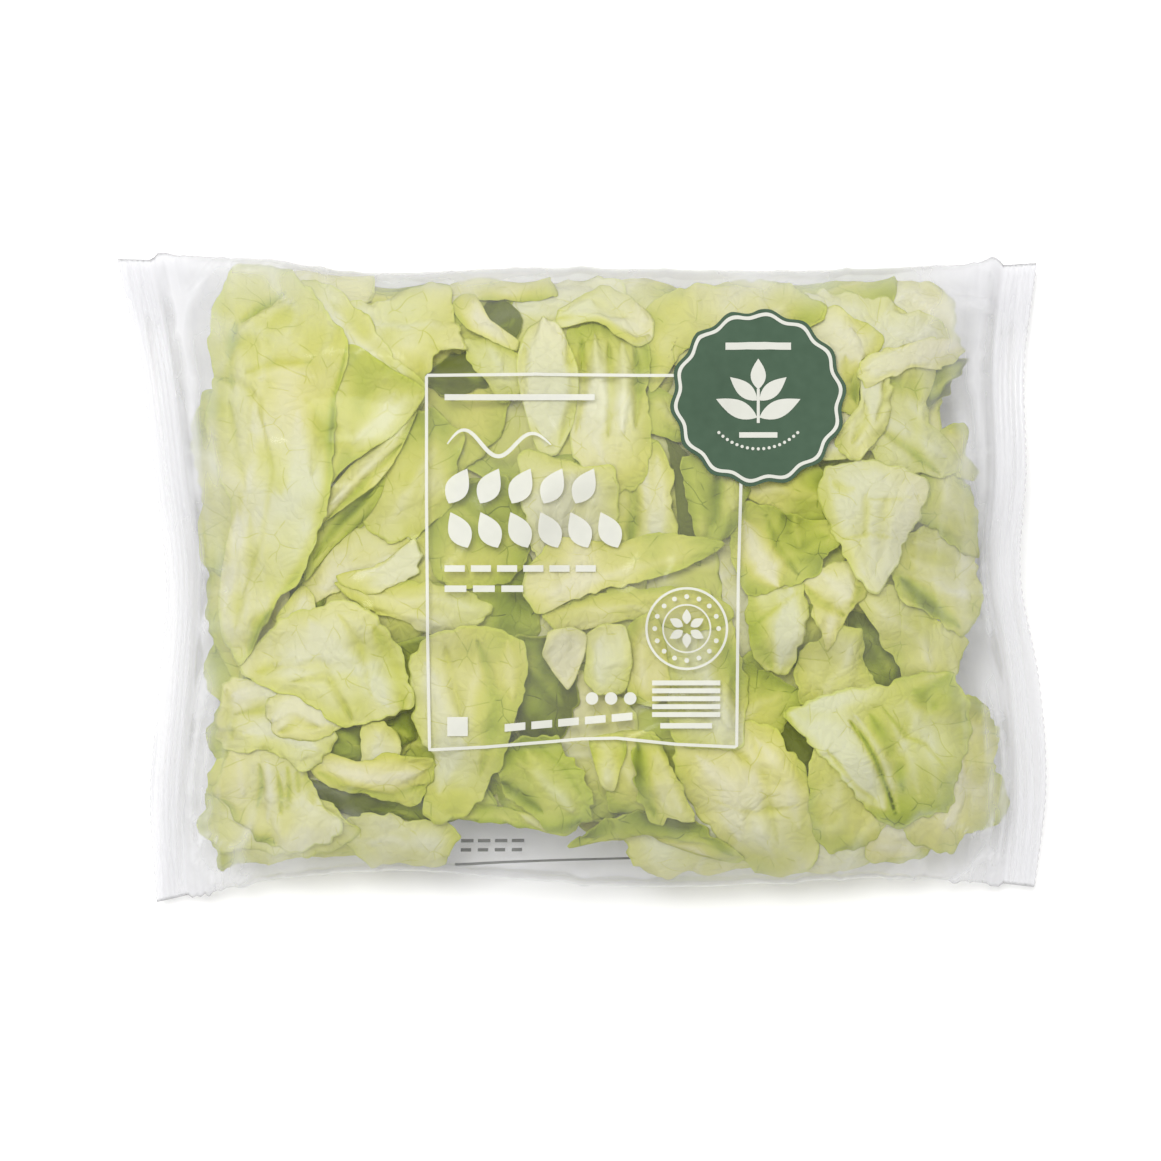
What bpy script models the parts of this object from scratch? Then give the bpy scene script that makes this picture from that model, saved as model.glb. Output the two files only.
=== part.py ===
"""A sealed pillow bag of salad leaves, lying on its back panel, as one closed solid.

Metres, +Z up. The origin is under the middle of the bag, on the surface that it lies on. X runs along the
bag from one end seal to the other, and Y across it. The bag is a tube of film, pressed flat and sealed at
both ends, so its corners stand out while its long sides, which are only folded, are drawn in by the filling.
"""

import math

import bmesh
import bpy
import numpy as np

MM = 0.001

# Driving sizes, in millimetres.
BAG_LENGTH = 340.0
BAG_HEIGHT = 62.0
SEAL_WIDTH = 12.0
SEAL_THICKNESS = 1.4

# Height of the long folded edges and of the end seals, in the middle and at the corners.
FOLD_HEIGHT = 26.0
SEAL_HEIGHT = 21.0
CORNER_HEIGHT = 8.0

# How far the back panel would hang below the surface, were it not pressed flat there.
PRESSED_DEPTH = 8.0

# How full the bag is: exponents of the curve along it, and of the curve across it.
FULLNESS_ALONG = 3.3
SHOULDER_ALONG = 0.62
FULLNESS_ACROSS = 2.6
ROUND_SIDE = 0.5
CREASED_SIDE = 0.85

# Bulges where leaves press on the film.
BULGE_HEIGHT = 4.2
BULGE_WAVES = 10
BULGE_SHORTEST = 42.0
BULGE_LONGEST = 100.0
BULGE_SEED = 7

# Folds of slack film that run in from each end seal.
PLEAT_HEIGHT = 1.9
PLEAT_COUNT = 7.5
PLEAT_REACH = 34.0
PLEAT_START = 6.0

# Columns across one panel, and stations along the bag between the seals and on each seal.
COLUMNS = 34
BODY_STATIONS = 50
SEAL_STATIONS = 2

# The flat outline: how far each edge lies from the middle lines. Across the end seals, from one long side to
# the other, at even steps. Along the long sides, from one end to the other, at even steps.
LEFT_END = (-155.5, -157.2, -153.6, -150.8, -155.2, -160.8, -170.0)
RIGHT_END = (166.2, 169.6, 166.5, 159.6, 161.8, 161.6, 167.0)
NEAR_SIDE = (-118.0, -108.0, -105.0, -108.0, -111.0, -109.0, -107.5, -112.5)
FAR_SIDE = (118.0, 116.5, 111.2, 112.8, 112.5, 112.0, 113.5, 116.5)

FILM_COLOUR = (0.66, 0.74, 0.40, 1.0)
FILM_ROUGHNESS = 0.3


def through(values, t):
    """A smooth curve through evenly spaced values, read at t from 0 to 1 (Catmull-Rom)."""
    steps = len(values) - 1
    place = min(max(t, 0.0), 1.0) * steps
    i = min(int(place), steps - 1)
    f = place - i
    b, c = values[i], values[i + 1]
    a = values[i - 1] if i > 0 else 2 * b - c
    d = values[i + 2] if i + 2 <= steps else 2 * c - b
    return b + 0.5 * f * (c - a + f * (2 * a - 5 * b + 4 * c - d + f * (3 * (b - c) + d - a)))


def smooth_step(t):
    """0 before 0, 1 after 1, and an even turn between them."""
    t = min(max(t, 0.0), 1.0)
    return t * t * (3 - 2 * t)


def bulge_waves():
    """Direction, length and phase of the long waves whose sum makes the bulges."""
    draw = np.random.RandomState(BULGE_SEED)
    angle = draw.uniform(0, math.pi, BULGE_WAVES)
    length = draw.uniform(BULGE_SHORTEST, BULGE_LONGEST, BULGE_WAVES)
    phase = draw.uniform(0, 2 * math.pi, BULGE_WAVES)
    return angle, length, phase


def bulge(x, y, waves):
    """Height of the bulges at a point of the plan, in millimetres, between plus and minus BULGE_HEIGHT."""
    angle, length, phase = waves
    along = (x * np.cos(angle) + y * np.sin(angle)) / length
    total = np.sin(2 * math.pi * along + phase).sum() / math.sqrt(BULGE_WAVES)
    return BULGE_HEIGHT * math.tanh(total)


def filling_along(s):
    """Share of the full height at s along the bag: 0 on the seals, 1 in the middle."""
    seal = SEAL_WIDTH / BAG_LENGTH
    xi = min(1.0, abs(2 * (s - seal) / (1 - 2 * seal) - 1))
    return (1 - xi**FULLNESS_ALONG) ** SHOULDER_ALONG


def filling_across(eta, along):
    """Share of the full height across the bag. The side is round where the bag is full, creased at its ends."""
    power = CREASED_SIDE + (ROUND_SIDE - CREASED_SIDE) * smooth_step(along)
    return (1 - abs(eta) ** FULLNESS_ACROSS) ** power


def pleats(s, eta):
    """Height of the slack folds near the end seals, which die away towards the middle."""
    from_seal = min(s, 1 - s) * BAG_LENGTH - SEAL_WIDTH
    if from_seal <= 0:
        return 0.0
    side = 0.0 if s < 0.5 else 2.1
    fade = math.exp(-from_seal / PLEAT_REACH) * smooth_step(from_seal / PLEAT_START)
    swing = math.sin(math.pi * (PLEAT_COUNT * eta + 0.8 * math.sin(2.3 * eta + side)) + side)
    return PLEAT_HEIGHT * fade * swing * (1 - eta**4)


def seam_height(s, eta):
    """Height of the surface where the front and back panels meet, in millimetres."""
    along = filling_along(s)
    end = CORNER_HEIGHT + (SEAL_HEIGHT - CORNER_HEIGHT) * (1 - eta * eta)
    return end + (FOLD_HEIGHT - end) * smooth_step(along)


def panel_point(s, eta, front, waves):
    """One point of the front or back panel, in metres: s runs along the bag and eta from side to side."""
    across = 0.5 * (eta + 1)
    x = through(LEFT_END, across) * (1 - s) + through(RIGHT_END, across) * s
    near, far = through(NEAR_SIDE, s), through(FAR_SIDE, s)
    y = near + (far - near) * across
    seam = seam_height(s, eta)
    along = filling_along(s)
    share = along * filling_across(eta, along)
    film = 0.5 * SEAL_THICKNESS * (1 - eta**8)
    if front:
        z = seam + film + (BAG_HEIGHT - FOLD_HEIGHT) * share
        z += share * bulge(x, y, waves) + pleats(s, eta)
    else:
        z = seam - film - (FOLD_HEIGHT + PRESSED_DEPTH) * share
        z += 0.5 * share * bulge(-x, y, waves) + pleats(s, eta)
        z = max(z, 0.0)
    return (x * MM, y * MM, z * MM)


def stations():
    """Places along the bag: even on each seal, and closer together where the filling rises from a seal."""
    seal = SEAL_WIDTH / BAG_LENGTH
    first = [seal * i / SEAL_STATIONS for i in range(SEAL_STATIONS)]
    body = [
        seal + (1 - 2 * seal) * 0.5 * (1 - math.cos(math.pi * i / BODY_STATIONS))
        for i in range(BODY_STATIONS + 1)
    ]
    return first + body + [1 - s for s in reversed(first)]


def film_tube(mesh_name):
    """The closed skin of the bag: a ring of points at each station, bridged, and shut along both cut ends."""
    waves = bulge_waves()
    columns = [math.sin(math.pi * (k / COLUMNS - 0.5)) for k in range(COLUMNS + 1)]
    bm = bmesh.new()
    fronts, backs = [], []
    for s in stations():
        front = [bm.verts.new(panel_point(s, eta, True, waves)) for eta in columns]
        inner = [bm.verts.new(panel_point(s, eta, False, waves)) for eta in columns[1:-1]]
        fronts.append(front)
        backs.append([front[0], *inner, front[-1]])
    for i in range(len(fronts) - 1):
        for k in range(COLUMNS):
            bm.faces.new((fronts[i][k], fronts[i + 1][k], fronts[i + 1][k + 1], fronts[i][k + 1]))
            bm.faces.new((backs[i][k], backs[i][k + 1], backs[i + 1][k + 1], backs[i + 1][k]))
    for front, back in ((fronts[0], backs[0]), (fronts[-1], backs[-1])):
        for k in range(COLUMNS):
            corners = [front[k], front[k + 1], back[k + 1], back[k]]
            bm.faces.new(list(dict.fromkeys(corners)))
    bmesh.ops.triangulate(bm, faces=bm.faces)
    bmesh.ops.recalc_face_normals(bm, faces=bm.faces)
    mesh = bpy.data.meshes.new(mesh_name)
    bm.to_mesh(mesh)
    bm.free()
    return mesh


def centre_on_origin(mesh):
    """Moves the mesh so that its box is centred over the origin and stands on z = 0."""
    corners = np.empty(len(mesh.vertices) * 3, np.float32)
    mesh.vertices.foreach_get("co", corners)
    corners = corners.reshape(-1, 3)
    low, high = corners.min(0), corners.max(0)
    corners -= np.array([(low[0] + high[0]) / 2, (low[1] + high[1]) / 2, low[2]], np.float32)
    mesh.vertices.foreach_set("co", corners.ravel())
    mesh.update()


def film_material():
    """Clear film over pale green leaves, as one plain colour."""
    material = bpy.data.materials.new("leaf_filled_film")
    material.use_nodes = True
    shader = material.node_tree.nodes["Principled BSDF"]
    shader.inputs["Base Color"].default_value = FILM_COLOUR
    shader.inputs["Roughness"].default_value = FILM_ROUGHNESS
    shader.inputs["Metallic"].default_value = 0.0
    return material


def clear_scene():
    for item in list(bpy.data.objects):
        bpy.data.objects.remove(item, do_unlink=True)


def main():
    clear_scene()
    mesh = film_tube("salad_bag")
    centre_on_origin(mesh)
    mesh.shade_smooth()
    mesh.set_sharp_from_angle(angle=math.radians(40))
    mesh.materials.append(film_material())
    bag = bpy.data.objects.new("salad_bag", mesh)
    bpy.context.scene.collection.objects.link(bag)


main()
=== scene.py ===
"""Looks of a sealed pillow bag of lettuce leaves: clear film, plain print, and the leaves that fill it.

Sizes are in millimetres until a mesh is made. The film is worked out from the same named values as the solid
that it replaces. Leaves are placed on the unrolled film: s runs along the bag from 0 to 1, and `around` is
the way round it in millimetres, 0 on the middle line of the front panel. How deep a point lies is measured
from the film towards the middle of the bag, and each leaf is pressed under those listed before it.
"""

import math

import bpy
import numpy as np
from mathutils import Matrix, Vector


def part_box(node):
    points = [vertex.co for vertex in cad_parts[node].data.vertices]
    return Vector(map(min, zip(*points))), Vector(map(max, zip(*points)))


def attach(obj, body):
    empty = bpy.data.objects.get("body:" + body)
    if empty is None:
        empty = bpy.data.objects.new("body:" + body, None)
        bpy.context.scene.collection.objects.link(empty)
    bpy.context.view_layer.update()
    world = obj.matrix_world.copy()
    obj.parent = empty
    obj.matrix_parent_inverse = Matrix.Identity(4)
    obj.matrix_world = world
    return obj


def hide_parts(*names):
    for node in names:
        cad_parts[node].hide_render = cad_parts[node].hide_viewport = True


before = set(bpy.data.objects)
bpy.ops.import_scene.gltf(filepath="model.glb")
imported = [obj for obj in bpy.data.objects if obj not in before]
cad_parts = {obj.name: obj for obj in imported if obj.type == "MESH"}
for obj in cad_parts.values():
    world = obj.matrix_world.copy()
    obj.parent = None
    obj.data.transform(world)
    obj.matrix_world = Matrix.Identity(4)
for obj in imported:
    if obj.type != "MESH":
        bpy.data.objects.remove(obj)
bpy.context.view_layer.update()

MM = 0.001

# The bag, as in the solid.
BAG_LENGTH = 340.0
BAG_HEIGHT = 62.0
SEAL_WIDTH = 12.0
FOLD_HEIGHT = 26.0
SEAL_HEIGHT = 21.0
CORNER_HEIGHT = 8.0
PRESSED_DEPTH = 8.0
FULLNESS_ALONG = 3.3
SHOULDER_ALONG = 0.62
FULLNESS_ACROSS = 2.6
ROUND_SIDE = 0.5
CREASED_SIDE = 0.85
BULGE_HEIGHT = 4.2
BULGE_WAVES = 10
BULGE_SHORTEST = 42.0
BULGE_LONGEST = 100.0
BULGE_SEED = 7
PLEAT_HEIGHT = 1.9
PLEAT_COUNT = 7.5
PLEAT_REACH = 34.0
PLEAT_START = 6.0
LEFT_END = (-155.5, -157.2, -153.6, -150.8, -155.2, -160.8, -170.0)
RIGHT_END = (166.2, 169.6, 166.5, 159.6, 161.8, 161.6, 167.0)
NEAR_SIDE = (-118.0, -108.0, -105.0, -108.0, -111.0, -109.0, -107.5, -112.5)
FAR_SIDE = (118.0, 116.5, 111.2, 112.8, 112.5, 112.0, 113.5, 116.5)

# The film: thickness of the pressed seal, its ribs, and the columns and stations of its mesh.
SEAL_FILM = 0.3
RIB_HEIGHT = 0.15
RIBS = 6
STATIONS_A_RIB = 5
BODY_STATIONS = 186
PANEL_COLUMNS = 150
CUT_TOOTH = 0.4

# The unrolled film is tabled at so many stations, at a step round the bag. A ring is measured in RING_STEPS.
TABLE_STATIONS = 180
TABLE_REACH = 236.0
TABLE_STEP = 1.5
RING_STEPS = 1200

# Share of the way to the middle of the bag that the deepest leaf may lie in.
DEEPEST = 0.94

# First guesses of s: how far left of the origin the bag starts, and how long it is, in plan and unrolled.
PLAN_START, PLAN_LENGTH = 160.0, 325.0
SHEET_START, SHEET_LENGTH = 158.0, 322.0

# Leaves: thickness, room between neighbours and under the film, steps and cells of their meshes, and how many
# triangles a piece made of several may have.
LEAF_THICKNESS = 0.26
LEAF_GAP = 0.3
FILM_GAP = 0.7
LEAF_STEP = 1.05
UNDER_STEP = 2.3
LEAF_GRID_LEAST = 24
LEAF_GRID_MOST = 96
PIECE_TRIANGLES = 190000

# The pile: the step of its grid, and how steeply a leaf follows those above it.
PILE_STEP = 1.5
PILE_SLOPE = 0.24

# Outlines: how far a curve swings out past its corners, and how many times farther out a rim may lie one
# degree further round its middle.
OUTLINE_TENSION = 0.27
RIM_STEEPEST = 1.055

# Random draws: shown leaves, leaves behind them, and the places of these. Each leaf has its own run of seeds.
SHOWN_SEED, SHOWN_SEEDS = 100, 20
UNDER_SEED, UNDER_SEEDS = 5000, 10
FILL_SEED = 23
NOISE_SIZE = 64

# Leaves behind those that show stay between these ends, and leave a window open near the front edge.
LEAVES_START = -136.0
LEAVES_END = 135.0
WINDOW = (-52.0, 30.0)

# Print: how far it stands off the film, the steps of its shapes, and the middles of badge and emblem.
PRINT_LIFT = 0.22
PRINT_STEP = 1.6
STROKE_STEP = 1.2
BADGE = (64.9, 66.7)
EMBLEM = (38.7, -17.6)

# Camera: how much the picture's width shows at the height of the bag's outline, and how high the lens is.
PICTURE_WIDTH = 425.4
OUTLINE_HEIGHT = 10.0
CAMERA_HEIGHT = 1500.0
SENSOR = 36.0


# Small formulas.


def smooth_step(t):
    """0 before 0, 1 after 1, and an even turn between them."""
    t = np.clip(t, 0.0, 1.0)
    return t * t * (3 - 2 * t)


def between(low, high, value):
    """0 where value is under low, 1 over high, and an even turn between them."""
    return smooth_step((value - low) / (high - low))


def through(values, t):
    """A smooth curve through evenly spaced values, read at t from 0 to 1 (Catmull-Rom)."""
    values = np.array(values, float)
    steps = len(values) - 1
    padded = np.concatenate([[2 * values[0] - values[1]], values, [2 * values[-1] - values[-2]]])
    place = np.clip(t, 0.0, 1.0) * steps
    i = np.minimum(place.astype(int), steps - 1)
    f = place - i
    a, b, c, d = padded[i], padded[i + 1], padded[i + 2], padded[i + 3]
    return b + 0.5 * f * (c - a + f * (2 * a - 5 * b + 4 * c - d + f * (3 * (b - c) + d - a)))


def soft_most(a, b, width):
    """The larger of a and b, with the corner between them rounded over about the given width."""
    gap = np.clip((a - b) / width, -40, 40)
    return b + width * np.log1p(np.exp(gap))


def noise(x, y, scale, seed):
    """Smooth noise from -1 to 1: random values on a square lattice of that scale, blended between points."""
    values = np.random.RandomState(seed).uniform(-1, 1, (NOISE_SIZE, NOISE_SIZE))
    x, y = np.broadcast_arrays(np.asarray(x, float) / scale, np.asarray(y, float) / scale)
    i, j = np.floor(x).astype(int), np.floor(y).astype(int)
    fx, fy = smooth_step(x - i), smooth_step(y - j)
    i0, j0, i1, j1 = i % NOISE_SIZE, j % NOISE_SIZE, (i + 1) % NOISE_SIZE, (j + 1) % NOISE_SIZE
    low = values[i0, j0] * (1 - fx) + values[i1, j0] * fx
    high = values[i0, j1] * (1 - fx) + values[i1, j1] * fx
    return low * (1 - fy) + high * fy


def read_table(table, i, j):
    """A table's value at row i and column j, both with fractions, blended from the four entries about it."""
    i0 = np.minimum(i.astype(int), table.shape[0] - 2)
    j0 = np.minimum(j.astype(int), table.shape[1] - 2)
    f, g = i - i0, j - j0
    if table.ndim == 3:
        f, g = f[..., None], g[..., None]
    low = table[i0, j0] * (1 - f) + table[i0 + 1, j0] * f
    high = table[i0, j0 + 1] * (1 - f) + table[i0 + 1, j0 + 1] * f
    return low * (1 - g) + high * g


# The bag's smooth surface.


def past_seal(s):
    """How far s lies from the nearer seal, in millimetres along the bag: under 0 on the seal itself."""
    return np.minimum(s, 1 - s) * BAG_LENGTH - SEAL_WIDTH


def filling_along(s):
    """Share of the full height at s along the bag: 0 on the seals, 1 in the middle."""
    seal = SEAL_WIDTH / BAG_LENGTH
    xi = np.minimum(1.0, abs(2 * (s - seal) / (1 - 2 * seal) - 1))
    return (1 - xi**FULLNESS_ALONG) ** SHOULDER_ALONG


def filling_across(eta, along):
    """Share of the full height across the bag. Its side is round where it is full, creased at the ends."""
    power = CREASED_SIDE + (ROUND_SIDE - CREASED_SIDE) * smooth_step(along)
    return np.maximum(0.0, 1 - abs(eta) ** FULLNESS_ACROSS) ** power


def bulge(x, y):
    """Height of the bulges where leaves press on the film: a sum of long waves, held between two heights."""
    draw = np.random.RandomState(BULGE_SEED)
    angle = draw.uniform(0, math.pi, BULGE_WAVES)
    length = draw.uniform(BULGE_SHORTEST, BULGE_LONGEST, BULGE_WAVES)
    phase = draw.uniform(0, 2 * math.pi, BULGE_WAVES)
    total = sum(
        np.sin(2 * math.pi * (x * np.cos(a) + y * np.sin(a)) / w + p)
        for a, w, p in zip(angle, length, phase)
    )
    return BULGE_HEIGHT * np.tanh(total / math.sqrt(BULGE_WAVES))


def pleats(s, eta):
    """Height of the slack folds near the end seals, which die away towards the middle."""
    from_seal = np.maximum(0.0, past_seal(s))
    side = np.where(s < 0.5, 0.0, 2.1)
    fade = np.exp(-from_seal / PLEAT_REACH) * smooth_step(from_seal / PLEAT_START)
    swing = np.sin(math.pi * (PLEAT_COUNT * eta + 0.8 * np.sin(2.3 * eta + side)) + side)
    return PLEAT_HEIGHT * fade * swing * (1 - eta**4)


def seam_height(s, eta):
    """Height of the surface where the front and back panels meet."""
    end = CORNER_HEIGHT + (SEAL_HEIGHT - CORNER_HEIGHT) * (1 - eta * eta)
    return end + (FOLD_HEIGHT - end) * smooth_step(filling_along(s))


def plan_point(s, eta):
    """Plan place of a point of a panel: s runs along the bag and eta from side to side, -1 to 1."""
    across = 0.5 * (eta + 1)
    x = through(LEFT_END, across) * (1 - s) + through(RIGHT_END, across) * s
    near, far = through(NEAR_SIDE, s), through(FAR_SIDE, s)
    return x, near + (far - near) * across


def panel_height(s, eta, front):
    """Height of the front panel where front is true, and of the back panel elsewhere."""
    x, y = plan_point(s, eta)
    seam, along = seam_height(s, eta), filling_along(s)
    share = along * filling_across(eta, along)
    film = 0.5 * SEAL_FILM * (1 - eta**8)
    folds = pleats(s, eta)
    top = seam + film + (BAG_HEIGHT - FOLD_HEIGHT) * share + share * bulge(x, y) + folds
    low = seam - film - (FOLD_HEIGHT + PRESSED_DEPTH) * share + 0.5 * share * bulge(-x, y) + folds
    return np.where(front, top, np.maximum(low, 0.0))


def ring_eta(a):
    """Side to side place of a point round the bag: a is 0 in front, 1 or -1 on a fold, 2 or -2 behind."""
    beyond = np.abs(a) > 1
    turn = np.where(beyond, 2 - np.abs(a), np.abs(a))
    return np.sign(a) * np.sin(0.5 * math.pi * turn)


def ring_point(s, a):
    """A point of the bag's surface, s along it and a round it."""
    eta = ring_eta(a)
    x, y = plan_point(s, eta)
    return np.stack([x, y, panel_height(s, eta, np.abs(a) <= 1)], -1)


def core_point(s, a):
    """The point in the middle of the bag towards which depth is measured from the surface point (s, a)."""
    eta = ring_eta(a)
    inner = 0.55
    pulled = np.where(np.abs(eta) < inner, np.abs(eta), inner + 0.3 * (np.abs(eta) - inner))
    eta = np.sign(eta) * pulled
    x, y = plan_point(s, eta)
    height = 0.5 * (panel_height(s, eta, True) + panel_height(s, eta, False))
    return np.stack([x, y, height], -1)


class UnrolledFilm:
    """Tables of the surface, of the way into the bag and of the depth there, over s and the way round."""

    def __init__(self):
        """At each station, the ring is measured and read again at even steps round the bag."""
        self.s = np.linspace(0, 1, TABLE_STATIONS)
        self.round = np.arange(-TABLE_REACH, TABLE_REACH + TABLE_STEP, TABLE_STEP)
        self.a = np.linspace(-2, 2, RING_STEPS + 1)
        ring = ring_point(self.s[:, None], self.a[None, :])
        step = np.linalg.norm(np.diff(ring[..., 1:], axis=1), axis=-1)
        arc = np.concatenate([np.zeros((TABLE_STATIONS, 1)), np.cumsum(step, axis=1)], axis=1)
        self.arc = arc - arc[:, [RING_STEPS // 2]]
        self.turn = np.stack([np.interp(self.round, row, self.a) for row in self.arc])
        surface = ring_point(self.s[:, None], self.turn)
        inward = core_point(self.s[:, None], self.turn) - surface
        reach = np.linalg.norm(inward, axis=-1)
        reach = np.maximum(reach, 0.05)
        self.surface = surface
        self.inward = inward / reach[..., None]
        self.reach = DEEPEST * reach

    def row(self, s):
        """Row of the tables for s, with a fraction."""
        return np.clip(s, 0, 1) * (TABLE_STATIONS - 1)

    def read(self, table, s, around):
        """A table's value at s and the way round."""
        column = np.clip((around + TABLE_REACH) / TABLE_STEP, 0, len(self.round) - 1)
        return read_table(table, self.row(s), column)

    def way_round(self, s, a):
        """The way round the bag, in millimetres, of the ring place a at s."""
        return read_table(self.arc, self.row(s), (np.clip(a, -2, 2) + 2) * (RING_STEPS / 4))

    def from_plan(self, x, y):
        """s and the way round of a plan place. Past a folded side, the way goes on round the bag."""
        s = (x + PLAN_START) / PLAN_LENGTH
        for _ in range(5):
            near, far = through(NEAR_SIDE, s), through(FAR_SIDE, s)
            across = (y - near) / (far - near)
            left, right = through(LEFT_END, across), through(RIGHT_END, across)
            s = np.clip((x - left) / (right - left), 0, 1)
        eta = 2 * across - 1
        inside = np.clip(eta, -1, 1)
        around = self.way_round(s, np.arcsin(inside) * 2 / math.pi)
        return s, around + (eta - inside) * 0.5 * (far - near)

    def from_sheet(self, along, around):
        """s of a place that lies `along` the bag in millimetres, at that way round it."""
        s = (along + SHEET_START) / SHEET_LENGTH
        for _ in range(4):
            s = s + (along - self.read(self.surface, s, around)[..., 0]) / SHEET_LENGTH
        return s

    def inside(self, s, around, depth):
        """Points at a depth under the film, eased so that it never passes the middle of the bag."""
        reach = self.read(self.reach, s, around)
        eased = reach * (1 - np.exp(-depth / reach))
        return self.read(self.surface, s, around) + self.read(self.inward, s, around) * eased[..., None]

    def from_view(self, x, y):
        """s and the way round of the film seen at a place of the picture, in mm at OUTLINE_HEIGHT."""
        height = FOLD_HEIGHT
        for _ in range(3):
            nearer = (CAMERA_HEIGHT - height) / (CAMERA_HEIGHT - OUTLINE_HEIGHT)
            s, around = self.from_plan(x * nearer, y * nearer)
            height = self.read(self.surface, s, around)[..., 2]
        return s, around


film_map = UnrolledFilm()


def to_frame():
    """Move from the formulas' own origin to the frame's: the two boxes have the same middle and floor."""
    low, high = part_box("salad_bag")
    s, eta = np.meshgrid(np.linspace(0, 1, 400), np.linspace(-1, 1, 400), indexing="ij")
    x, y = plan_point(s, eta)
    bag = np.array([x.min() + x.max(), y.min() + y.max()]) / 2
    box = np.array([low.x + high.x, low.y + high.y]) / 2 / MM
    return np.array([*(box - bag), low.z / MM])


SHIFT = to_frame()


# Meshes from arrays.


def make_piece(name, points, faces, material, smooth=True):
    """An object on body root from points in millimetres and rows of corner numbers (three or four a row)."""
    rows = [np.asarray(f, np.int32) for f in (faces if isinstance(faces, list) else [faces])]
    mesh = bpy.data.meshes.new(name)
    mesh.vertices.add(len(points))
    mesh.vertices.foreach_set("co", ((points + SHIFT) * MM).astype(np.float32).ravel())
    totals = np.concatenate([np.full(len(f), f.shape[1], np.int32) for f in rows])
    mesh.loops.add(int(totals.sum()))
    mesh.polygons.add(len(totals))
    mesh.polygons.foreach_set("loop_start", np.concatenate([[0], np.cumsum(totals)[:-1]]).astype(np.int32))
    mesh.polygons.foreach_set("loop_total", totals)
    mesh.loops.foreach_set("vertex_index", np.concatenate([f.ravel() for f in rows]))
    mesh.update(calc_edges=True)
    mesh.polygons.foreach_set("use_smooth", np.full(len(totals), smooth))
    mesh.materials.append(material)
    piece = bpy.data.objects.new(name, mesh)
    bpy.context.scene.collection.objects.link(piece)
    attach(piece, "root")
    return piece


def grid_quads(rows, columns, wrap=False):
    """Corner numbers of the cells of a grid of points. With wrap, the last column joins the first."""
    i = np.arange(rows - 1)[:, None] * columns
    j = np.arange(columns if wrap else columns - 1)[None, :]
    k = (j + 1) % columns
    return np.stack([i + j, i + columns + j, i + columns + k, i + k], -1).reshape(-1, 4)


def add_attribute(piece, name, values):
    """A number for each point of a piece, for its material."""
    attribute = piece.data.attributes.new(name, "FLOAT", "POINT")
    attribute.data.foreach_set("value", np.asarray(values, np.float32))


def add_uv(piece, uv):
    """A UV map from one pair of numbers for each point."""
    layer = piece.data.uv_layers.new(name="UVMap")
    corner = np.empty(len(piece.data.loops), np.int32)
    piece.data.loops.foreach_get("vertex_index", corner)
    layer.uv.foreach_set("vector", np.asarray(uv, np.float32)[corner].ravel())


# The film.


def end_creases(x, y, from_seal):
    """Height of the creases near the seals: some run away from the seal, and some along it."""
    near_end = np.exp(-from_seal / 19) * smooth_step(from_seal / 3)
    slant = y + 0.3 * from_seal * np.sin(y / 27.0)
    away = near_end * crease(noise(slant, from_seal * 0.16, 9.0, 11), 0.4)
    close = np.exp(-from_seal / 17) * smooth_step(from_seal / 2)
    level = from_seal + 2.5 * np.sin(y / 23.0) + 3 * noise(y, x, 31.0, 19)
    return away + 2.0 * close * crease(noise(0.1 * y, level, 6.5, 20), 0.4)


def film_relief(s, a, x, y):
    """How far the film stands off its smooth form, and the sharp part of that.

    Creases run along the ends and slantwise at the corners. The sides and the slack panel swell softly.
    """
    eta = np.abs(ring_eta(a))
    from_seal = np.maximum(0.0, past_seal(s))
    reach = np.exp(-from_seal / 60) * smooth_step((eta - 0.5) / 0.4) * smooth_step(from_seal / 5)
    corners = 2.2 * reach * crease(noise(0.6 * x + y, x - 0.6 * y, 15.0, 12), 0.35)
    side = smooth_step((eta - 0.86) / 0.1) * smooth_step(from_seal / 30)
    sides = 0.7 * side * np.maximum(0, noise(x, np.abs(a) * 20, 8.0, 13))
    slack = 0.3 * (noise(x, y, 30.0, 14) + 1)
    slack = slack + 0.5 * crease(noise(x + 0.5 * y, 0.5 * y - 0.2 * x, 34.0, 15), 0.12)
    fade = smooth_step((1.2 - np.abs(a)) / 0.1)
    sharp = (end_creases(x, y, from_seal) + corners) * fade
    return sharp + (sides + slack * smooth_step(from_seal / 12)) * fade, sharp


def crease(value, width):
    """A sharp-topped ridge where a noise crosses zero: 1 on that line, 0 where the noise reaches width."""
    return np.maximum(0.0, 1 - np.abs(value) / width) ** 1.5


def film_haze_and_painted_light(s, a, x, y):
    """How milky the film is, with painted highlight and shade mixed in: faint clouds, more at the ends, along
    the far side and in the printed frame.
    """
    front = np.abs(a) <= 1
    from_seal = past_seal(s)
    haze_and_painted_light = 0.025 + 0.02 * noise(x, y, 28.0, 16) + 0.15 * smooth_step(1 - from_seal / 34)
    # Streaks near the seals and on sharp creases: partly the film's own whitening, partly painted highlight
    # and crease shade.
    haze_and_painted_light += 0.22 * smooth_step(1 - from_seal / 17) * noise(0.045 * y, from_seal + 2 * np.sin(y / 31), 1.9, 21)
    haze_and_painted_light += 0.12 * smooth_step(1 - from_seal / 34) * noise(0.08 * y, from_seal + 4 * np.sin(y / 23), 4.2, 22)
    haze_and_painted_light += 0.14 * smooth_step(1 - from_seal / 1.5) + 0.16 * film_relief(s, a, x, y)[1]
    far = y + 4 * noise(x, y, 20.0, 17)
    haze_and_painted_light += 0.22 * front * between(97, 110, far) * (0.8 + 0.4 * noise(x, y, 12.0, 18))
    # The back panel along the far side is made milky to stand in for the shade under the bag there: painted
    # shade.
    haze_and_painted_light += 0.5 * ~front * between(90, 100, far)
    inside = between(-57, -55, x) * between(59, 57, x) * between(-61, -59, y) * between(76, 74, y)
    return np.clip(haze_and_painted_light + 0.035 * front * inside, 0, 1)


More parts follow.
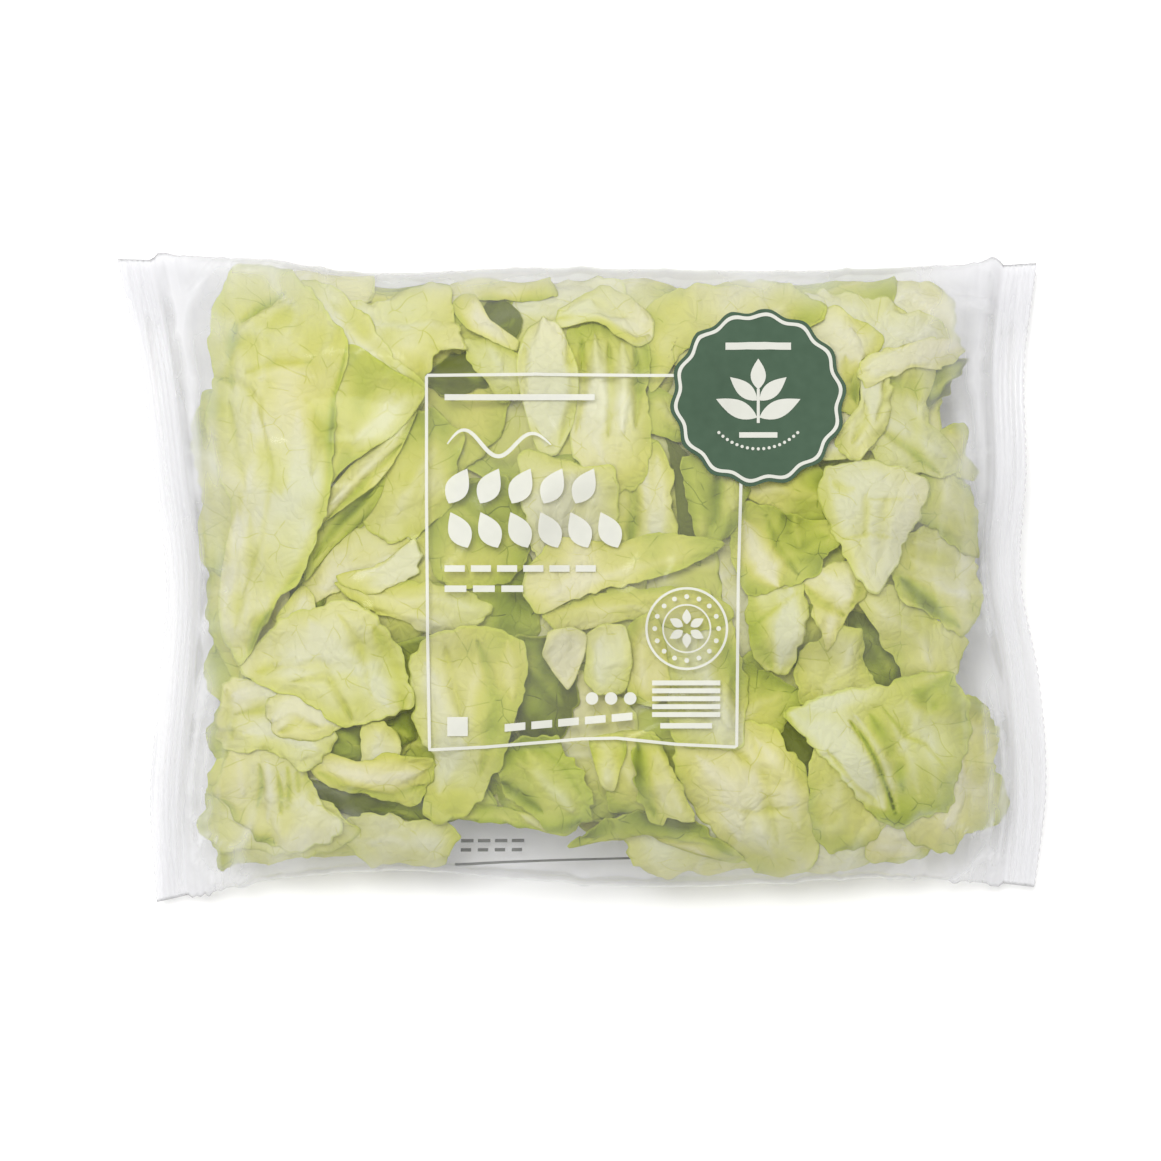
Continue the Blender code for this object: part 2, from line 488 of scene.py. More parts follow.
def seal_ribs(s):
    """Height of the pressed ribs of the seals, which run along the cut ends."""
    from_end = np.minimum(s, 1 - s) * BAG_LENGTH
    wave = np.sin(2 * math.pi * RIBS * from_end / SEAL_WIDTH)
    return RIB_HEIGHT * wave * smooth_step((SEAL_WIDTH - from_end) / 1.5)


def film_stations():
    """Places along the bag: close together across the ribs of each seal, even between the seals."""
    seal = SEAL_WIDTH / BAG_LENGTH
    first = np.linspace(0, seal, RIBS * STATIONS_A_RIB + 1)[:-1]
    body = np.linspace(seal, 1 - seal, BODY_STATIONS + 1)
    return np.concatenate([first, body, 1 - first[::-1]])


def film_ring(s):
    """Ring places a of the film's columns at the stations s: even round the front, then round the back."""
    near_back, near, far, far_back = (
        film_map.way_round(s, np.full_like(s, a))[:, None] for a in (-2.0, -1.0, 1.0, 2.0)
    )
    u = np.linspace(0, 1, PANEL_COLUMNS + 1)
    half = np.linspace(0, 1, PANEL_COLUMNS // 2 + 1)[1:]
    front = near * (1 - u) + far * u
    beyond_far = far * (1 - half) + far_back * half
    beyond_near = near * (1 - half) + near_back * half
    around = np.concatenate([front, beyond_far, beyond_near[:, -2::-1]], axis=1)
    index = film_map.row(s)
    i0 = np.minimum(index.astype(int), TABLE_STATIONS - 2)
    f = (index - i0)[:, None]
    rows = film_map.arc[i0] * (1 - f) + film_map.arc[i0 + 1] * f
    turn = np.stack([np.interp(want, row, film_map.a) for want, row in zip(around, rows)])
    turn[:, 0], turn[:, PANEL_COLUMNS] = -1.0, 1.0
    return turn


def film_points(s, a, lift=0.0):
    """Points of the wrinkled film, or above it by lift. Relief is set off outwards, and ribs up and down."""
    points = ring_point(s, a)
    outward = points - core_point(s, a)
    outward /= np.maximum(np.linalg.norm(outward, axis=-1, keepdims=True), 1e-6)
    points = points + outward * (lift + film_relief(s, a, points[..., 0], points[..., 1])[0])[..., None]
    points[..., 2] = np.maximum(points[..., 2] + seal_ribs(s), 0.0)
    return points


def film_faces(rows, columns):
    """Faces of the tube, of the strips that close its cut ends, and of the triangle at each strip's tips."""
    body = grid_quads(rows, columns, wrap=True)
    k = np.arange(1, PANEL_COLUMNS - 1)
    first = np.stack([k, k + 1, columns - k - 1, columns - k], -1)
    tips = np.array([[0, 1, columns - 1], [PANEL_COLUMNS - 1, PANEL_COLUMNS, PANEL_COLUMNS + 1]])
    to_last = (rows - 1) * columns
    strips = np.concatenate([first, first[:, ::-1] + to_last])
    return [body, strips, np.concatenate([tips, tips[:, ::-1] + to_last])]


def make_film(material):
    """The whole film: one closed tube, flat and ribbed at both seals, with a finely toothed cut edge."""
    s = film_stations()
    a = film_ring(s)
    s_all = s[:, None] + 0 * a
    points = film_points(s_all, a)
    haze_and_painted_light = film_haze_and_painted_light(s_all, a, points[..., 0], points[..., 1])
    columns = a.shape[1]
    tooth = CUT_TOOTH * (np.arange(columns) % 2)
    points[0, :, 0] -= tooth
    points[-1, :, 0] += tooth
    film = make_piece("salad_film", points.reshape(-1, 3), film_faces(len(s), columns), material)
    add_attribute(film, "haze_and_painted_light", haze_and_painted_light.ravel())
    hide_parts("salad_bag")


# Leaves.


class Pile:
    """How deep the leaves laid so far reach, over a grid of the unrolled film."""

    def __init__(self):
        """At first only the film is there."""
        self.size = (int(BAG_LENGTH / PILE_STEP), int(2 * TABLE_REACH / PILE_STEP))
        self.depth = np.full(self.size, FILM_GAP)

    def cell(self, along, around):
        """Grid place, with fractions, of points of the unrolled film."""
        i = np.clip((along + BAG_LENGTH / 2) / PILE_STEP, 0, self.size[0] - 1.001)
        j = np.clip((around + TABLE_REACH) / PILE_STEP, 0, self.size[1] - 1.001)
        return i, j

    def read(self, along, around):
        """Depth below which a leaf has to lie there."""
        return read_table(self.depth, *self.cell(along, around))

    def press(self, along, around, depth):
        """Notes a leaf's depth in the cells that it covers, then eases steps to the slope of a bent leaf."""
        i, j = self.cell(along, around)
        i, j = np.rint(i).astype(int).ravel(), np.rint(j).astype(int).ravel()
        value = depth.ravel() + LEAF_GAP
        for di in (-1, 0, 1):
            for dj in (-1, 0, 1):
                spot = (np.clip(i + di, 0, self.size[0] - 1), np.clip(j + dj, 0, self.size[1] - 1))
                np.maximum.at(self.depth, spot, value)
        for _ in range(9):
            for axis in (0, 1):
                for way in (-1, 1):
                    moved = np.roll(self.depth, way, axis) - PILE_SLOPE * PILE_STEP
                    self.depth = np.maximum(self.depth, moved)


def leaf_grid(leaf):
    """Cells along each side of a leaf's mesh: enough for the length of its outline."""
    points = np.array(leaf["outline"], float)
    length = np.linalg.norm(points - np.roll(points, 1, 0), axis=1).sum()
    step = UNDER_STEP if leaf["sheet"] else LEAF_STEP
    return int(np.clip(0.31 * length / step, LEAF_GRID_LEAST, LEAF_GRID_MOST))


def closed_curve(corners, steps=14):
    """A closed curve through the corners, anticlockwise and nearly straight between (a cardinal spline)."""
    c = np.array(corners, float)
    turned = np.roll(c, -1, 0)
    if (c[:, 0] * turned[:, 1] - turned[:, 0] * c[:, 1]).sum() < 0:
        c = c[::-1]
    f = np.linspace(0, 1, steps, endpoint=False)[None, :, None]
    p, q, r, t = (np.roll(c, k, 0)[:, None, :] for k in (1, 0, -1, -2))
    leave, arrive = OUTLINE_TENSION * (r - p), OUTLINE_TENSION * (t - q)
    share = f * f * (3 - 2 * f)
    curve = q + share * (r - q) + f * (1 - f) ** 2 * leave - f * f * (1 - f) * arrive
    return curve.reshape(-1, 2)


def middle_of(curve):
    """The point inside a closed curve from which most of its rim is seen, nearest to its centre of area."""
    turned = np.roll(curve, -1, 0)
    cross = curve[:, 0] * turned[:, 1] - turned[:, 0] * curve[:, 1]
    centre = ((curve + turned) * cross[:, None]).sum(0) / (3 * cross.sum())
    low, high = curve.min(0), curve.max(0)
    u, v = np.meshgrid(np.linspace(0.1, 0.9, 17), np.linspace(0.1, 0.9, 17), indexing="ij")
    tries = np.stack([low[0] + u * (high - low)[0], low[1] + v * (high - low)[1]], -1).reshape(-1, 2)
    tries = np.concatenate([[centre], tries])
    away = curve[None] - tries[:, None]
    angle = np.arctan2(away[..., 1], away[..., 0])
    step = (np.roll(angle, -1, 1) - angle + math.pi) % (2 * math.pi) - math.pi
    hidden = np.abs(np.minimum(step, 0)).sum(1) + 10 * (np.abs(step.sum(1) - 2 * math.pi) > 0.1)
    cost = hidden + 0.1 * np.linalg.norm(tries - centre, axis=1)
    return tries[np.argmin(cost)]


def round_axes(curve):
    """The long and the short axis of a closed curve, as columns, along which it is measured to look round."""
    centred = curve - curve.mean(0)
    spread, axes = np.linalg.eigh(centred.T @ centred / len(curve))
    axes = axes * np.sqrt(spread)
    return axes if np.linalg.det(axes) > 0 else axes[:, ::-1]


def disc_grid(n):
    """A square grid pressed into a disc: distance from the middle and direction of each of its points."""
    line = np.linspace(-1, 1, n + 1)
    a, b = np.meshgrid(line, line, indexing="ij")
    x = a * np.sqrt(1 - 0.5 * b * b)
    y = b * np.sqrt(1 - 0.5 * a * a)
    return np.hypot(x, y), np.arctan2(y, x)


def fill_outline(corners, n, seed, torn):
    """Spreads a disc grid inside an outline: each point keeps its share of the way from middle to rim.

    Returns the points, that share, and the place along the rim in millimetres.
    """
    curve = closed_curve(corners)
    axes = round_axes(curve)
    rounded = curve @ np.linalg.inv(axes).T
    middle = middle_of(rounded)
    angle, reach = rim_reach(rounded, middle)
    rim_x, rim_y = axes @ (reach * np.stack([np.cos(angle), np.sin(angle)]))
    middle = axes @ middle
    step = np.hypot(np.diff(rim_x), np.diff(rim_y))
    rim = np.concatenate([[0], np.cumsum(np.minimum(step, 1.6 * step.mean()))])
    share, direction = disc_grid(n)
    turn = direction % (2 * math.pi)
    x, y = np.interp(turn, angle, rim_x), np.interp(turn, angle, rim_y)
    along_rim = np.interp(turn, angle, rim)
    notch = 0.9 * noise(along_rim, 0, 3.1, seed) + 1.4 * noise(along_rim, 0, 8.5, seed + 1)
    notch = torn * (notch + 0.45 * noise(along_rim, 0, 1.9, seed + 19))
    fade = smooth_step(along_rim / 6) * smooth_step((rim[-1] - along_rim) / 6)
    grow = 1 + share**5 * fade * np.maximum(notch / np.maximum(np.hypot(x, y), 8), -0.13)
    return middle[0] + x * share * grow, middle[1] + y * share * grow, share, along_rim


def rim_reach(curve, middle):
    """How far a closed curve lies from its middle in every direction. Where it turns back, its rim counts."""
    angle = np.linspace(0, 2 * math.pi, 361)
    start = curve - middle
    side = np.roll(start, -1, 0) - start
    way = np.stack([np.cos(angle), np.sin(angle)], -1)[:, None, :]
    across = way[..., 0] * side[:, 1] - way[..., 1] * side[:, 0]
    across = np.where(np.abs(across) < 1e-9, 1e-9, across)
    reach = (start[:, 0] * side[:, 1] - start[:, 1] * side[:, 0]) / across
    place = (start[:, 0] * way[..., 1] - start[:, 1] * way[..., 0]) / across
    hit = (place >= 0) & (place <= 1) & (reach > 0)
    reach = np.where(hit, reach, 0).max(1)
    for _ in range(60):
        reach = np.minimum(reach, RIM_STEEPEST * np.minimum(np.roll(reach, 1), np.roll(reach, -1)))
    around = np.concatenate([reach[-4:-1], reach, reach[1:4]])
    return angle, np.convolve(around, np.full(7, 1 / 7), "valid")


# What a leaf has unless it says otherwise: its depth and tone, how cool its green is, the direction and drop
# of its dip, its cup, the ruffle and the tears of its rim, the height and number of its folds, its puckers,
# midrib and sharp creases, its own lines, and whether its outline lies on the unrolled film and not in plan.
LEAF_DEFAULTS = dict(
    depth=2.0, tone=0.3, cool=0.0, dip=(0.0, 0.0), cup=0.3, ruffle=1.2, torn=1.0, folds=2.2, fan=5.0,
    pucker=0.5, rib=0.5, crease=1.3, lines=(), sheet=False,
)


def by_midrib(leaf, x, y):
    """How far points lie along a leaf's midrib and to its left, and how long the midrib is."""
    base, tip = np.array(leaf["base"], float), np.array(leaf["tip"], float)
    length = max(np.linalg.norm(tip - base), 1.0)
    way = (tip - base) / length
    p = (x - base[0]) * way[0] + (y - base[1]) * way[1]
    q = (y - base[1]) * way[0] - (x - base[0]) * way[1]
    return p, q, length


def leaf_dip(leaf, x, y):
    """Depth that a leaf gains towards the side that its dip names: a direction in degrees and a drop."""
    towards, drop = leaf["dip"]
    size = 0.5 * math.hypot(np.ptp(x), np.ptp(y))
    turn = math.radians(towards)
    return drop * (((x - x.mean()) * math.cos(turn) + (y - y.mean()) * math.sin(turn)) / size)


def folded_depth(leaf, x, y, p, q, length, share, seed):
    """Wanted depth of a leaf with its dip, its cup and folds, which fan out from its base or cross it."""
    depth = leaf["depth"] + leaf_dip(leaf, x, y) + leaf["cup"] * share**3
    fan = np.arctan2(q, p + 0.2 * length)
    reach = np.hypot(p + 0.2 * length, q)
    spread = between(0.0, 0.6 * length, reach)
    swing = np.sin(2 * leaf["fan"] * fan + 2.7 * noise(p, q, 30, seed + 2))
    depth += leaf["folds"] * (0.5 * spread * swing + 0.55 * noise(x, y, 24, seed + 3))
    fanned = 1 - 2.6 * np.abs(noise(0.45 * length * fan, 0.3 * reach, 9.0, seed + 13))
    crossing = 1 - 4.0 * np.abs(noise(x, y, 22.0, seed + 14))
    return depth - leaf["crease"] * (0.9 * spread * np.maximum(0, fanned) + 0.6 * np.maximum(0, crossing))


def crumpled(leaf, depth, x, y, share, rim, seed):
    """That depth with the ruffle of the rim, puckers, crumples, and the leaf's own raised or sunk lines."""
    wave = noise(rim, 0, 7.0, seed + 4) + 0.8 * noise(rim, 0, 3.4, seed + 5)
    depth = depth + leaf["ruffle"] * between(0.6, 1.0, share) * wave
    depth += leaf["pucker"] * (0.8 * noise(x, y, 8.0, seed + 6) + 0.5 * noise(x, y, 4.0, seed + 7))
    crumple = 1 - 3.2 * np.abs(noise(x, y, 12.0, seed + 15))
    depth -= 1.3 * leaf["pucker"] * np.maximum(0, crumple)
    for line_points, width, rise, _ in leaf["lines"]:
        depth -= 1.25 * rise * line_share(line_points, width, x, y)
    return depth


def leaf_shape(leaf, seed):
    """Plan, midrib coordinates and wanted depth of one leaf, before it is pressed under the others."""
    x, y, share, rim = fill_outline(leaf["outline"], leaf_grid(leaf), seed, leaf["torn"])
    p, q, length = by_midrib(leaf, x, y)
    depth = folded_depth(leaf, x, y, p, q, length, share, seed)
    depth = crumpled(leaf, depth, x, y, share, rim, seed)
    ridge = np.exp(-((q / 3.2) ** 2)) * between(1.15 * length, 0.0, p)
    return x, y, p, q, share, depth - leaf["rib"] * ridge


def line_share(line_points, width, x, y):
    """1 on a line through the points, easing to 0 at about twice its width, and thinner at its two ends."""
    points = np.array(line_points, float)
    best = np.full(np.shape(x), 1e9)
    steps = np.linalg.norm(np.diff(points, axis=0), axis=1)
    start = 0.0
    for a, b, size in zip(points[:-1], points[1:], steps):
        t = np.clip(((x - a[0]) * (b[0] - a[0]) + (y - a[1]) * (b[1] - a[1])) / size**2, 0, 1)
        away = np.hypot(x - a[0] - t * (b[0] - a[0]), y - a[1] - t * (b[1] - a[1]))
        run = (start + t * size) / steps.sum()
        best = np.minimum(best, away / (1.15 - np.abs(2 * run - 1) ** 2.5))
        start += size
    return np.exp(-((best / width) ** 2))


def leaf_tone(leaf, x, y, share, depth, seed):
    """How green a leaf is at each point: more at its rim and in patches, greener where it lies deeper than
    its own depth and paler where it rises, as painted shade and painted highlight, and along its lines.
    """
    painted_shade_hollow = (depth - leaf["depth"]) / 6
    patches = 0.26 * noise(x, y, 30.0, seed + 8) + 0.13 * noise(x, y, 9.0, seed + 9)
    # Lying deeper than the leaf's own depth is painted greener as shade, rising above it paler as highlight.
    tone = leaf["tone"] + patches + 0.16 * between(0.5, 1.0, share) - 0.07 + 0.16 * np.clip(painted_shade_hollow, -1, 1)
    # A line's green is partly the leaf's own colour, partly painted shade in sunk grooves and painted
    # highlight on raised ridges.
    for line_points, width, _, green in leaf["lines"]:
        tone += green * line_share(line_points, width, x, y)
    return tone


def leaf_normals(points):
    """Unit normals of a grid of points, from the differences along its rows and columns."""
    normal = np.cross(np.gradient(points, axis=0), np.gradient(points, axis=1))
    return normal / np.maximum(np.linalg.norm(normal, axis=-1, keepdims=True), 1e-9)


def vein_place(p, q, seed):
    """Pattern coordinates for the veins, in tenths of a metre: the leaf's own, gently warped."""
    along = p + 3.0 * noise(p, q, 17.0, seed + 10) + 1.5 * noise(p, q, 6.0, seed + 17)
    across = q + 3.0 * noise(p, q, 17.0, seed + 11) + 1.5 * noise(p, q, 6.0, seed + 18)
    return np.stack([along, across], -1) / 100


def leaf_faces(grid):
    """Triangles of a leaf's two faces, split alike along each cell's shorter way, and of its rim's strip."""
    rows, columns = grid.shape[:2]
    count = rows * columns
    quads = grid_quads(rows, columns)
    corner = grid.reshape(-1, 3)[quads]
    first = np.linalg.norm(corner[:, 0] - corner[:, 2], axis=1)
    second = np.linalg.norm(corner[:, 1] - corner[:, 3], axis=1)
    quads = np.where((second < first)[:, None], quads[:, [1, 2, 3, 0]], quads)
    top = np.concatenate([quads[:, [0, 1, 2]], quads[:, [0, 2, 3]]])
    low = top[:, ::-1] + count
    index = np.arange(count).reshape(rows, columns)
    loop = np.concatenate([index[:-1, 0], index[-1, :-1], index[:0:-1, -1], index[0, :0:-1]])
    ahead = np.roll(loop, -1)
    strip = np.concatenate([
        np.stack([loop, loop + count, ahead + count], -1),
        np.stack([loop, ahead + count, ahead], -1),
    ])
    return np.concatenate([top, low, strip])


def lay_leaf(leaf, pile, seed):
    """Presses one leaf under those laid before it and returns its points, faces and pattern values."""
    x, y, p, q, share, wanted = leaf_shape(leaf, seed)
    if leaf["sheet"]:
        around = y
        s = film_map.from_sheet(x, around)
        along = x
    else:
        s, around = film_map.from_view(x, y)
        along = film_map.read(film_map.surface, s, around)[..., 0]
    ceiling = pile.read(along, around)
    depth = soft_most(wanted, ceiling, 0.35)
    pile.press(along, around, depth)
    middle = film_map.inside(s, around, depth)
    normal = leaf_normals(middle)
    rib = np.exp(-((q / 2.6) ** 2)) * between(1.0, -0.2, p / max(p.max(), 1))
    half = 0.5 * LEAF_THICKNESS * (1 - 0.55 * share**6) + 0.45 * rib * leaf["rib"]
    half = half[..., None] * normal
    points = np.concatenate([(middle + half).reshape(-1, 3), (middle - half).reshape(-1, 3)])
    return dict(
        points=points,
        faces=leaf_faces(middle),
        uv=np.tile(vein_place(p, q, seed).reshape(-1, 2), (2, 1)),
        share=np.tile(share.ravel(), 2),
        tone=np.tile(leaf_tone(leaf, x, y, share, wanted, seed).ravel(), 2),
        cool=np.tile((0.5 + leaf["cool"] + 0.5 * noise(x, y, 34.0, seed + 12)).ravel(), 2),
    )


def join_leaves(name, parts, material):
    """One piece from several laid leaves, with their pattern values as attributes."""
    offsets = np.cumsum([0] + [len(part["points"]) for part in parts[:-1]])
    points = np.concatenate([part["points"] for part in parts])
    faces = np.concatenate([part["faces"] + o for part, o in zip(parts, offsets)])
    piece = make_piece(name, points, faces, material)
    add_uv(piece, np.concatenate([part["uv"] for part in parts]))
    for key in ("share", "tone", "cool"):
        add_attribute(piece, key, np.concatenate([part[key] for part in parts]))


def leaf(outline, base, tip, **values):
    """A leaf by its outline in plan, its midrib's start and end, and what differs from LEAF_DEFAULTS."""
    return dict(LEAF_DEFAULTS, outline=outline, base=base, tip=tip, **values)


def painted_shade_hollow(outline, **values):
    """A leaf deep in a gap between others, toned dark green as painted shade on top of the real shade of its
    depth.
    """
    middle = np.mean(outline, axis=0)
    # A tone past 1 paints the shade of the gap into the leaf's colour.
    shape = dict(depth=9.0, tone=1.1, cool=-0.2, folds=1.0, ruffle=0.6, cup=0.0)
    grown = middle + (np.array(outline, float) - middle) * 1.25
    return dict(LEAF_DEFAULTS, outline=grown, base=outline[0], tip=tuple(middle), **{**shape, **values})


# Gaps between leaves, where leaves toned dark as painted shade show.
PAINTED_SHADE_HOLLOWS = [
    painted_shade_hollow([(-56, 76), (-46, 86), (-34, 84), (-36, 74), (-46, 70)]),
    painted_shade_hollow([(26, 56), (32, 48), (35, 30), (34, 14), (44, 12), (40, 26), (38, 44)], depth=8.0),
    painted_shade_hollow([(-24, -26), (-8, -26), (-4, -40), (-8, -56), (-20, -56)], tone=0.9),
    painted_shade_hollow([(76, -14), (87, -12), (90, -26), (84, -34), (77, -28)], tone=0.78, cool=0.3),
    painted_shade_hollow([(100, -14), (110, -18), (119, -30), (113, -38), (102, -34)]),
    painted_shade_hollow([(72, -50), (80, -57), (86, -64), (85, -72), (78, -66)], depth=6.0),
    painted_shade_hollow([(-98, -78), (-80, -84), (-60, -84), (-60, -93), (-80, -92), (-96, -88)]),
    painted_shade_hollow([(-94, -54), (-82, -56), (-80, -66), (-91, -68)], depth=7.0, cool=-0.4),
    painted_shade_hollow([(-73, -55), (-64, -50), (-62, -58), (-70, -62)]),
    painted_shade_hollow([(-30, -74), (-12, -78), (-6, -90), (-24, -92)], tone=0.85, depth=6.5),
    painted_shade_hollow([(-106, 2), (-96, 0), (-96, -10), (-106, -12)], depth=7.0),
    painted_shade_hollow([(-96, 28), (-84, 30), (-82, 20), (-94, 18)], depth=7.0, tone=0.8),
    painted_shade_hollow([(-37, 98), (-34, 106), (-27, 106), (-23, 99), (-27, 93)], depth=6.5),
    painted_shade_hollow([(126, 66), (134, 70), (134, 78), (126, 76)], depth=6.0, tone=0.85),
    painted_shade_hollow([(10, -60), (26, -60), (26, -84), (12, -84)], depth=5.0, tone=0.72),
    painted_shade_hollow([(-18, 42), (-6, 46), (4, 44), (2, 34), (-14, 32)], depth=7.0, tone=0.72),
    painted_shade_hollow([(-52, 26), (-30, 34), (-20, 20), (-28, 2), (-50, 4)], depth=6.0, tone=0.66),
]
